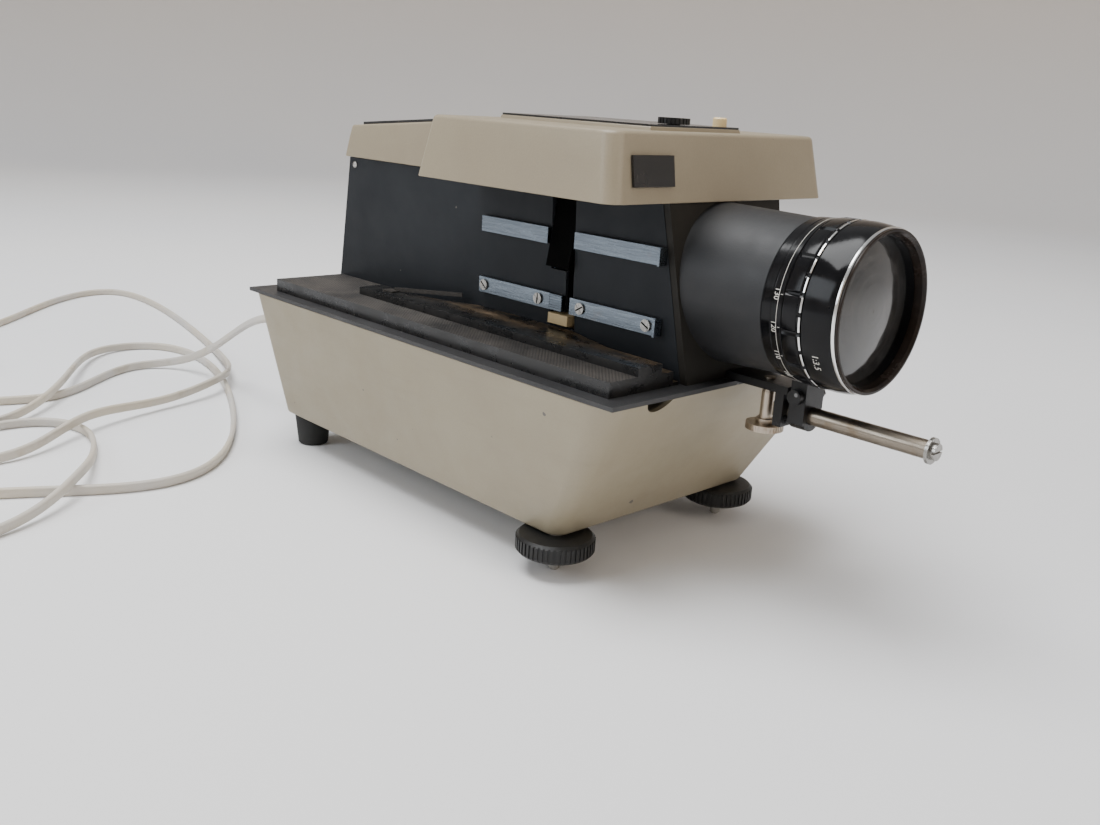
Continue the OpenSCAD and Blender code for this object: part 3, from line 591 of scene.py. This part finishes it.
def twin_profile(count=20):
    """The cord's section: two round cores side by side, with a groove between. (across, up)."""
    core = LEAD_THICKNESS / 2
    points = []
    for i in range(count):
        a = 2 * math.pi * i / count
        side = math.copysign(1, math.sin(a)) if abs(math.sin(a)) > 1e-6 else 0
        across = core * math.cos(a)
        along = core * math.sin(a) * 0.98 + side * (LEAD_WIDTH / 2 - core)
        if abs(math.sin(a)) < 0.35:
            across *= 0.80
            along = (LEAD_WIDTH / 2 - core) * math.sin(a) / 0.35 * 0.8
        points.append((across, along))
    return points


def make_lead():
    path = lead_path()
    profile = twin_profile()
    bm = bmesh.new()
    rings = []
    for i, point in enumerate(path):
        along = (path[min(i + 1, len(path) - 1)] - path[max(i - 1, 0)]).normalized()
        side = Vector((0, 0, 1)).cross(along).normalized()
        up = along.cross(side)
        lean = math.radians(14) * math.sin(i * 0.045)
        if point.z > 25 * MM:
            lean = math.radians(30)
        across = math.cos(lean) * side + math.sin(lean) * up
        tall = -math.sin(lean) * side + math.cos(lean) * up
        rings.append([point + across * a + tall * b for a, b in profile])
    add_loft(bm, rings, cap_start=True, cap_end=True)
    lead = new_piece("mains_lead", bm, "root", ("mains_cord", "cord_coil"), 60)
    paint(lead, CORD)
    length = sum((b - a).length for a, b in zip(path, path[1:]))
    return lead, path, length


def make_plug():
    """A moulded two-pin plug with a tapered neck."""
    low, high = box("mains_plug")
    body_end = low.x + 34 * MM
    mid_y = (low.y + high.y) / 2
    mid_z = (low.z + high.z) / 2
    bm = bmesh.new()
    stations = ((0, 4, 3.6), (1.2, 4.6, 4.4), (9, 5.2, 5), (12, 8.4, 6.6), (16, 10.6, 7.3), (24, 11, 7.5),
                (32.6, 11, 7.5), (33.6, 10.4, 6.9), (34, 9.6, 6.2))
    loops = []
    for x, half_y, half_z in stations:
        loop = []
        for i in range(40):
            a = 2 * math.pi * i / 40
            c, s = math.cos(a), math.sin(a)
            y = half_y * MM * math.copysign(abs(c) ** 0.55, c)
            z = half_z * MM * math.copysign(abs(s) ** 0.55, s)
            loop.append(Vector((low.x + x * MM, mid_y + y, mid_z + z)))
        loops.append(loop)
    add_loft(bm, loops, cap_start=True, cap_end=True)
    body = new_piece("plug_body", bm, "root", ("mains_plug",), 50)
    paint(body, CORD)
    bm = bmesh.new()
    for y in (-6.35 * MM, 6.35 * MM):
        add_box(bm, (body_end - 1 * MM, mid_y + y - 0.75 * MM, mid_z - 3 * MM),
                (high.x, mid_y + y + 0.75 * MM, mid_z + 3 * MM))
    pins = new_piece("plug_pins", bm, "root", ())
    bevel(pins, 0.4 * MM)
    paint(pins, SCREW)
    return body, pins


LEAD, LEAD_LINE, LEAD_LENGTH = make_lead()
PLUG, PLUG_PINS = make_plug()
dress("cord_gland", RUBBER, 0.2 * MM)


# ---------- base and covers ----------

def make_base():
    low, high = BASE_LOW, BASE_HIGH
    foot = rect_at("base_trough", low.z)
    rim = rect_at("base_trough", high.z)
    wall = 2.5 * MM
    plate = box("base_plate")
    opening = (plate[0].x - 0.3 * MM, plate[1].x + 0.3 * MM, plate[0].y - 0.3 * MM, plate[1].y + 0.3 * MM)
    tall = high.z - low.z

    def corner(z):
        return 8 * MM + 5 * MM * (z - low.z) / tall

    def side(z, inset=0.0):
        return rounded_rect(between(foot, rim, (z - low.z) / tall), inset, corner(z) - inset, z)
    loops = [rounded_rect(opening, 0, 2 * MM, low.z), side(low.z, 1.6 * MM)]
    for k in range(1, 5):
        a = math.radians(90 * k / 4)
        loops.append(side(low.z + 1.6 * MM * (1 - math.cos(a)), 1.6 * MM * (1 - math.sin(a))))
    loops += [side(low.z + tall * t) for t in (0.25, 0.5, 0.75)]
    loops += [side(high.z - 0.4 * MM), side(high.z, 0.4 * MM), side(high.z, wall),
              side(low.z + wall, wall + 1 * MM), rounded_rect(opening, 0, 2 * MM, low.z + wall)]
    bm = bmesh.new()
    add_loft(bm, loops, closed=True)
    base = new_piece("base_shell", bm, "root", ("base_trough",))
    screws = [middle("near_foot_screw"), middle("far_foot_screw")]
    gland = middle("cord_gland")
    cuts = [cylinder_cutter((s.x, s.y, low.z + 5 * MM), (0, 0, 1), 4.1 * MM, 24 * MM) for s in screws]
    cuts.append(cylinder_cutter((low.x + 5 * MM, gland.y, gland.z), (1, 0, 0), 5.1 * MM, 20 * MM))
    notch = (high.x, low.y + 30.7 * MM, high.z + 3.5 * MM)
    cuts.append(cylinder_cutter(notch, (1, 0, 0), 9 * MM, 22 * MM, 64))
    cut(base, cuts)
    paint(base, BEIGE)


def lid_shell(name, node, body, loops, inside, holes):
    """A deep lid from its outer loops and the loop of its inner ceiling."""
    bm = bmesh.new()
    rings = add_loft(bm, loops, cap_end=True)
    inner = [bm.verts.new(p) for p in inside]
    count = len(inner)
    for i in range(count):
        j = (i + 1) % count
        bm.faces.new((rings[0][j], rings[0][i], inner[i], inner[j]))
    bm.faces.new(inner)
    piece = new_piece(name, bm, body, (node,), 30)
    cut(piece, holes)
    return paint(piece, COVER)


def make_front_cover():
    """The deep front cover: leaning walls, round corners and an open underside."""
    wall, edge, corner, rear = 2.5 * MM, 1.8 * MM, 7.5 * MM, 4 * MM
    low = COVER_LOW.z
    tall = COVER_TOP - low
    foot = rect_at("top_cover", low)
    top = rect_at("top_cover", COVER_TOP)

    def side(z, inset=0.0):
        rect = between(foot, top, (z - low) / tall)
        return rounded_rect(rect, inset, corner - inset * 0.6, z, 12, rear - inset * 0.6)
    loops = [side(low, wall), side(low, 0.3 * MM), side(low + 0.3 * MM)]
    loops += [side(low + tall * t) for t in (0.3, 0.6)]
    for k in range(6):
        a = math.radians(90 * k / 5)
        loops.append(side(COVER_TOP - edge * (1 - math.sin(a)), edge * (1 - math.cos(a))))
    holes = [cylinder_cutter((p.x, p.y, COVER_TOP), (0, 0, 1), r * MM, 16 * MM)
             for p, r in ((middle("top_knob"), 3.1), (middle("release_button"), 3.4))]
    lid_shell("front_cover", "top_cover", "root", loops, side(COVER_TOP - wall, wall + 1 * MM), holes)
    panel = box("control_panel")
    bm = bmesh.new()
    border, lean = 1 * MM, 0.7 * MM
    verts = add_box(bm, (panel[0].x - border, panel[0].y - border, COVER_TOP - 0.6 * MM),
                    (panel[1].x + border, panel[1].y + border, COVER_HIGH.z))
    for v in verts:
        if v.co.z > COVER_TOP:
            v.co.x += lean if v.co.x < panel[0].x else -lean
            v.co.y += lean if v.co.y < panel[0].y else -lean
    pad = new_piece("cover_pad", bm, "root", (), 30)
    cut(pad, holes)
    bevel(pad, 0.3 * MM)
    paint(pad, COVER)


def make_hood():
    """The lamp cover, whose top rises towards the front, with cooling slots."""
    wall, edge, corner = 2.2 * MM, 1.4 * MM, 4 * MM
    rise = 0.079
    low = HOOD_LOW.z
    foot = rect_at("lamp_cover", low)
    front = max(v.co.x for v in NODES["lamp_cover"].data.vertices if v.co.z > HOOD_HIGH.z - 1 * MM)
    lean = 2.7 * MM
    top = (foot[0] + 2.6 * MM, front, foot[2] + lean, foot[3] - lean)

    def level(x):
        return HOOD_HIGH.z - rise * (front - x)

    def side(t, inset=0.0, drop=0.0):
        ground = rounded_rect(foot, inset, corner - inset * 0.6, low)
        roof = rounded_rect(top, inset, corner - inset * 0.6, 0)
        roof = [Vector((p.x, p.y, level(p.x) - drop)) for p in roof]
        return [a.lerp(b, t) for a, b in zip(ground, roof)]
    loops = [side(0, wall), side(0, 0.3 * MM), side(0.01), side(0.3), side(0.6)]
    for k in range(6):
        a = math.radians(90 * k / 5)
        loops.append(side(1, edge * (1 - math.cos(a)), edge * (1 - math.sin(a))))
    grille = box("lamp_grille")
    first, pitch, width, margin = 14, 8, 4 * MM, 6 * MM
    slots = []
    for k in range(11):
        x = grille[0].x + (first + pitch * k) * MM
        slots.append(box_cutter((x, grille[0].y + margin, level(x) - margin),
                                (x + width, grille[1].y - margin, level(x) + margin)))
    lid_shell("lamp_hood", "lamp_cover", "lamp_cover", loops, side(1, wall + 1 * MM, wall), slots)


def make_badge_rim():
    """A thin raised border round the blank badge."""
    low, high = box("badge_plate")
    lean = math.radians(9.1)
    along = Vector((-math.sin(lean), 0, math.cos(lean)))
    out = Vector((math.cos(lean), 0, math.sin(lean)))
    foot = Vector((high.x - 0.12 * MM, low.y, low.z + 0.3 * MM))
    tall = 12.7 * MM
    wide = high.y - low.y
    gap, bar = 0.3 * MM, 0.5 * MM
    bm = bmesh.new()
    for y, z, dy, dz in ((gap, gap, wide - 2 * gap, bar), (gap, tall - gap - bar, wide - 2 * gap, bar),
                         (gap, gap, bar, tall - 2 * gap), (wide - gap - bar, gap, bar, tall - 2 * gap)):
        corners = []
        for depth in (-0.25 * MM, 0.08 * MM):
            for py, pz in ((y, z), (y + dy, z), (y + dy, z + dz), (y, z + dz)):
                corners.append(bm.verts.new(foot + Vector((0, py, 0)) + along * pz + out * depth))
        bm.faces.new(corners[:4])
        bm.faces.new(corners[4:])
        for i in range(4):
            j = (i + 1) % 4
            bm.faces.new((corners[i], corners[j], corners[4 + j], corners[4 + i]))
    rim = new_piece("badge_rim", bm, "root", ())
    paint(rim, OXIDE)


# ---------- lens ----------

def make_tube():
    """The grey lens tube: it tapers to the front, and a small fillet meets the slanted front panel."""
    low, high = box("lens_tube")
    panel_low, panel_high = box("front_panel")
    slope = 0.2
    bore, sleeve, lip = 32.7 * MM, 34.85 * MM, 34.0 * MM
    step_out = 0.1 * MM
    front = high.x
    segments = 160
    steps = (0, 0.4, 0.9, 1.6, 3, 6, 10, 16, 23, 30)

    def panel_x(z):
        return panel_high.x - slope * (z - panel_low.z)

    def outline(s):
        return 35.5 * MM + 0.4 * MM * math.exp(-s / 0.8) - 1.15 * MM * max(0.0, (s - 4) / 26)

    def ring_at(x_of, radius):
        ring = []
        for i in range(segments):
            a = 2 * math.pi * i / segments
            z = AXIS.z + radius * math.cos(a)
            ring.append(axis_point(x_of(z), radius, a))
        return ring
    rings = []
    for s in steps:
        share = s / steps[-1]
        rings.append(ring_at(lambda z: panel_x(z) + step_out + (front - 0.4 * MM - panel_x(z)) * share,
                             outline(s)))
    rings += [ring_at(lambda z: front, radius) for radius in (lip, bore)]
    rings += [ring_at(lambda z: low.x, radius) for radius in (bore, sleeve)]
    rings.append(ring_at(lambda z: panel_x(z) + step_out, sleeve))
    bm = bmesh.new()
    add_loft(bm, rings, closed=True)
    tube = new_piece("tube_shell", bm, "root", ("lens_tube",))
    paint(tube, TUBE)


def turned_piece(name, outline, body, replaces, material, segments=160):
    bm = bmesh.new()
    add_lathe(bm, [(x, r * MM) for x, r in outline], segments)
    piece = new_piece(name, bm, body, replaces, 28)
    return paint(piece, material)


def make_rings():
    scale = box("scale_ring")
    front = box("front_ring")
    bezel = box("bezel_ring")
    bore = 32.61
    x0, x1 = scale[0].x, scale[1].x
    turned_piece("scale_band", [
        (x0, bore), (x0, 34.5), (x0 + 0.4 * MM, 35.0), (x0 + 4.6 * MM, 35.2), (x0 + 4.85 * MM, 35.0),
        (x0 + 5.1 * MM, 35.0), (x0 + 5.35 * MM, 35.25), (x1 - 0.3 * MM, 35.55), (x1, 35.3), (x1, bore)],
        "lens_carriage", ("scale_ring",), LENS_BLACK)
    x0, x1 = front[0].x, front[1].x
    turned_piece("front_band", [
        (x0, bore), (x0, 35.6), (x0 + 0.4 * MM, 35.95), (x0 + 5 * MM, 36.05), (x0 + 9.5 * MM, 35.6),
        (x0 + 12.3 * MM, 35.05), (x1, 34.8), (x1, bore)],
        "lens_carriage", ("front_ring",), LENS_BLACK)
    x0, x1 = bezel[0].x, bezel[1].x
    flange = x0 + 1.75 * MM
    turned_piece("bezel_chrome", [
        (flange, 33.2), (flange, 34.75), (flange + 0.3 * MM, 34.98), (flange + 1.0 * MM, 35.0),
        (flange + 1.5 * MM, 34.7), (flange + 1.5 * MM, 33.2)],
        "lens_carriage", ("bezel_ring",), CHROME)
    turned_piece("bezel_inner", [
        (x0, 31.65), (x0, 32.5), (flange, 32.55), (flange, 33.2), (flange + 1.6 * MM, 33.2),
        (flange + 1.6 * MM, 34.4), (x1 - 0.3 * MM, 34.45), (x1, 34.1), (x1, 33.2), (x1 - 1.2 * MM, 32.2),
        (x0 + 0.4 * MM, 31.62)],
        "lens_carriage", (), BEZEL_BROWN)


def make_zoom_ring():
    """The zoom ring: raised grip pads parted by grooves, with a bright front edge broken at each gap."""
    low, high = box("zoom_ring")
    pads = 28
    steps = 10
    bore = 32.66
    bm = bmesh.new()
    edge = []
    columns = pads * steps
    for i in range(columns):
        a = 2 * math.pi * i / columns
        k = i % steps
        groove = k in (0, 1)
        deep = groove and (i // steps) % 2 == 0
        top = 35.2 if deep else 36.12
        nose = 35.4 if groove else 36.12
        edge.append([(low.x, bore), (low.x, 35.5), (low.x + 0.4 * MM, 35.9), (low.x + 1.2 * MM, top),
                     (low.x + 7.0 * MM, top), (low.x + 7.3 * MM, 35.95), (low.x + 7.9 * MM, nose),
                     (high.x - 0.3 * MM, nose), (high.x, nose - 0.3), (high.x, bore)])
    rings = [[bm.verts.new(axis_point(x, r * MM, 2 * math.pi * i / columns)) for x, r in edge[i]]
             for i in range(columns)]
    for i in range(columns):
        a, b = rings[i], rings[(i + 1) % columns]
        for k in range(len(a)):
            m = (k + 1) % len(a)
            bm.faces.new((a[k], a[m], b[m], b[k]))
    ring = new_piece("grip_ring", bm, "zoom_ring", ("zoom_ring",), 25)
    paint(ring, LENS_BLACK)
    bm = bmesh.new()
    for p in range(pads):
        start = 2 * math.pi * (p * steps + 1.7) / columns
        stop = 2 * math.pi * ((p + 1) * steps - 0.7) / columns
        loops = []
        for j in range(9):
            a = start + (stop - start) * j / 8
            loops.append([axis_point(high.x - back * MM, r * MM, a) for back, r in
                          ((0.75, 36.05), (0.7, 36.19), (0.2, 36.17), (0.02, 35.95), (0.1, 35.8),
                           (0.4, 35.9))])
        add_loft(bm, loops, cap_start=True, cap_end=True)
    dashes = new_piece("grip_ring_bright_edge", bm, "zoom_ring", (), 40)
    paint(dashes, CHROME)


def ring_marks(name, body, entries, material):
    """Engraved marks filled with paint: each entry is (kind, angle, x, radius, size)."""
    bm = bmesh.new()
    sunk, proud = -0.05 * MM, 0.03 * MM
    for kind, angle, x, radius, size in entries:
        if kind == "line":
            half = size / 2
            section = ((-half, sunk), (-half, proud), (half, proud), (half, sunk))
            add_loft(bm, [[axis_point(x + dx, radius + dr, 2 * math.pi * j / 180) for dx, dr in section]
                          for j in range(181)])
            continue
        if kind == "tick":
            half = 0.12 * MM / radius
            section = ((0, sunk), (0, 0.04 * MM), (size, 0.04 * MM), (size, sunk))
            loops = [[axis_point(x + dx, radius + dr, a) for dx, dr in section]
                     for a in (angle - half, angle + half)]
            add_loft(bm, loops, cap_start=True, cap_end=True)
            continue
        curve = bpy.data.curves.new("mark", "FONT")
        curve.body = kind
        curve.size = size
        curve.align_x = "CENTER"
        curve.align_y = "CENTER"
        curve.extrude = 0.04 * MM
        curve.resolution_u = 3
        temp = bpy.data.objects.new("mark", curve)
        bpy.context.scene.collection.objects.link(temp)
        mesh = bpy.data.meshes.new_from_object(
            temp.evaluated_get(bpy.context.evaluated_depsgraph_get()))
        bpy.data.objects.remove(temp)
        made = [bm.verts.new(axis_point(x + v.co.y, radius + v.co.z, angle + v.co.x / radius))
                for v in mesh.vertices]
        for face in mesh.polygons:
            try:
                bm.faces.new([made[i] for i in face.vertices])
            except ValueError:
                continue
        bpy.data.meshes.remove(mesh)
    piece = new_piece(name, bm, body, (), 30)
    paint(piece, material)


def make_marks():
    white = painted("engraving_paint", (0.62, 0.60, 0.55), (0.50, 0.48, 0.43), 0.5, grain=2500)
    scale = box("scale_ring")
    front = box("front_ring")
    entries = [("line", 0, scale[1].x - 2.2 * MM, 35.44 * MM, 0.22 * MM)]
    for k, label in enumerate(("130", "120", "110", "100", "90", "85")):
        angle = math.radians(80 + 22 * k)
        entries.append((label, angle, scale[1].x - 3.4 * MM, 35.38 * MM, 3.4 * MM))
        entries.append(("tick", angle, scale[1].x - 1.5 * MM, 35.5 * MM, 1.1 * MM))
    ring_marks("zoom_scale_marks", "lens_carriage", entries, white)
    entries = [("1:3.5", math.radians(122), front[0].x + 6.2 * MM, 36.03 * MM, 4.2 * MM)]
    ring_marks("front_ring_marks", "lens_carriage", entries, white)


# ---------- small visible pieces ----------

def make_housing_screws():
    """Small domed screws at the top of the housing walls."""
    high = box("housing_shell")[1]
    top = rect_at("housing_shell", high.z)
    bm = bmesh.new()
    z = high.z - 4 * MM
    x = top[0] + 5 * MM
    for y, out in ((top[2] + 0.2 * MM, -1), (top[3] - 0.2 * MM, 1)):
        loops = []
        for depth, radius in ((-0.3, 1.9), (0.3, 1.9), (0.7, 1.5), (0.95, 0.9), (1.0, 0.3)):
            loops.append([Vector((x + radius * MM * math.cos(2 * math.pi * i / 20), y + out * depth * MM,
                                  z + radius * MM * math.sin(2 * math.pi * i / 20))) for i in range(20)])
        add_loft(bm, loops, cap_start=True, cap_end=True)
    screws = new_piece("housing_screws", bm, "root", (), 40)
    paint(screws, ZINC)


def make_screw_slot_shade():
    """Painted shade: thin matt black strips laid on the guide strips' screw heads, over the driver slots,
    standing in for the shade inside the slots.
    """
    low, high = box("strip_screws")
    head = 2.8 * MM
    first = low.x + head
    bm = bmesh.new()
    for k, offset in enumerate((0, 41.4, 70.7, 112.6)):
        centre = Vector((first + offset * MM, low.y + 0.02 * MM, (low.z + high.z) / 2))
        # each strip is a painted shadow of a driver slot: it lies on the head and is not cut into it
        verts = add_box(bm, (-2.5 * MM, -0.04 * MM, -0.32 * MM), (2.5 * MM, 0.04 * MM, 0.32 * MM))
        turn = Matrix.Translation(centre) @ Matrix.Rotation(math.radians(40 + 55 * k), 4, "Y")
        bmesh.ops.transform(bm, matrix=turn, verts=verts)
    slots = new_piece("strip_screw_slot_shade", bm, "root", ())
    paint(slots, MATT_BLACK)


# ---------- carried-over nodes ----------

def dress_nodes():
    for node, material, edge in (
            ("base_plate", STEEL, 0.2), ("deck_plate", DECK, 0.35), ("tray_channel", TRAY, 0.45),
            ("tray_spring", SPRING, 0.0), ("housing_shell", SLATE, 0.3), ("front_panel", PANEL, 0.25),
            ("top_plate", STEEL, 0.0), ("control_panel", BLACK, 0.25), ("badge_plate", BLACK, 0.3),
            ("upper_strips", STRIP, 0.2), ("lower_strips", STRIP, 0.2), ("strip_screws", SCREW, 0.12),
            ("gate_end_block", STRIP, 0.08), ("gate_frame", STEEL, 0.15), ("slot_flap", MATT_BLACK, 0.1),
            ("changer_arm", CREAM, 0.15), ("changer_pinion", CREAM, 0.0), ("drive_motor", ZINC, 0.3),
            ("optical_bed", STEEL, 0.15), ("condenser_lenses", GLASS, 0.0),
            ("heat_filter", FILTER_GLASS, 0.1), ("reflector", MIRROR, 0.0),
            ("lamp_socket", CERAMIC, 0.3), ("lamp", LAMP_GLASS, 0.0),
            ("transformer_core", laminations(), 0.3), ("transformer_coil", windings(), 0.4),
            ("fan_housing", MOULDED, 0.4), ("fan_motor", ZINC, 0.3), ("fan_impeller", MOULDED, 0.1),
            ("lens_barrel", LENS_BLACK, 0.1), ("front_lens", HAZY_GLASS, 0.0), ("rear_lens", GLASS, 0.0),
            ("zoom_cell", LENS_BLACK, 0.2), ("zoom_lens", GLASS, 0.0), ("lens_bracket", OXIDE, 0.4),
            ("guide_clamp", OXIDE, 0.4), ("clamp_bolt", OXIDE, 0.3), ("support_rod", ROD, 0.2),
            ("rod_end_screw", SCREW, 0.3), ("thumb_screw", NICKEL, 0.15), ("near_foot_screw", ZINC, 0.3),
            ("near_foot_knob", MOULDED, 0.15), ("far_foot_screw", ZINC, 0.3),
            ("far_foot_knob", MOULDED, 0.15), ("rear_feet", RUBBER, 0.4),
            ("lamp_grille", BLACK, 0.15), ("top_knob", MOULDED, 0.15),
            ("release_button", IVORY, 0.2)):
        dress(node, material, edge * MM)


# ---------- floor and light ----------

def make_floor():
    """A pale floor that curves up into a wall all round, far from the object."""
    flat, bend, tall, segments = 2.2, 1.2, 1.6, 96
    outline = [(0.02, 0.0), (flat, 0.0)]
    outline += [(flat + bend * math.sin(math.radians(a)), bend * (1 - math.cos(math.radians(a))))
                for a in range(10, 91, 10)]
    outline.append((flat + bend, bend + tall))
    bm = bmesh.new()
    turns = [2 * math.pi * i / segments for i in range(segments)]
    rings = [[bm.verts.new((r * math.cos(a), r * math.sin(a), z)) for a in turns] for r, z in outline]
    for a, b in zip(rings, rings[1:]):
        for i in range(segments):
            j = (i + 1) % segments
            bm.faces.new((a[i], a[j], b[j], b[i]))
    bm.faces.new(rings[0])
    mesh = bpy.data.meshes.new("floor")
    bm.to_mesh(mesh)
    bm.free()
    for face in mesh.polygons:
        face.use_smooth = True
    floor = bpy.data.objects.new("floor", mesh)
    bpy.context.scene.collection.objects.link(floor)
    g = Graph("floor_paper")
    cloud = g.ramp(g.noise(1.2, 3.0, 0.5), 0.35, 0.65)
    level = g.mix(cloud, (0.78, 0.79, 0.815), (0.82, 0.82, 0.825))
    rising = g.ramp(g.part(2), 0.02, 0.9)
    g.set(Base_Color=g.mix(rising, level, (0.70, 0.62, 0.54)), Roughness=0.85)
    paint(floor, g.material)


def make_light(name, place, target, size, power, colour):
    data = bpy.data.lights.new(name, "AREA")
    data.shape = "RECTANGLE"
    data.size, data.size_y = size
    data.energy = power
    data.color = colour
    lamp = bpy.data.objects.new(name, data)
    bpy.context.scene.collection.objects.link(lamp)
    aim = (Vector(target) - Vector(place)).to_track_quat("-Z", "Y")
    lamp.matrix_world = Matrix.Translation(place) @ aim.to_matrix().to_4x4()


def make_lights():
    make_light("key_overhead", (-0.35, -0.35, 1.9), (0, 0, 0.1), (1.3, 1.3), 56, (0.98, 0.99, 1.0))
    make_light("side_fill", (-0.6, -1.6, 0.9), (0, 0, 0.12), (1.0, 0.8), 12, (0.86, 0.93, 1.0))
    make_light("front_fill", (1.7, 0.3, 0.9), (0.1, 0, 0.12), (0.7, 0.7), 8, (1.0, 0.88, 0.74))
    world = bpy.data.worlds.new("world")
    world.use_nodes = True
    background = world.node_tree.nodes["Background"]
    background.inputs["Color"].default_value = (0.86, 0.86, 0.86, 1)
    background.inputs["Strength"].default_value = 0.54
    bpy.context.scene.world = world


# ---------- build ----------

make_base()
make_front_cover()
make_hood()
make_badge_rim()
make_tube()
make_rings()
make_zoom_ring()
make_marks()
make_housing_screws()
make_screw_slot_shade()
dress_nodes()
make_floor()
make_lights()
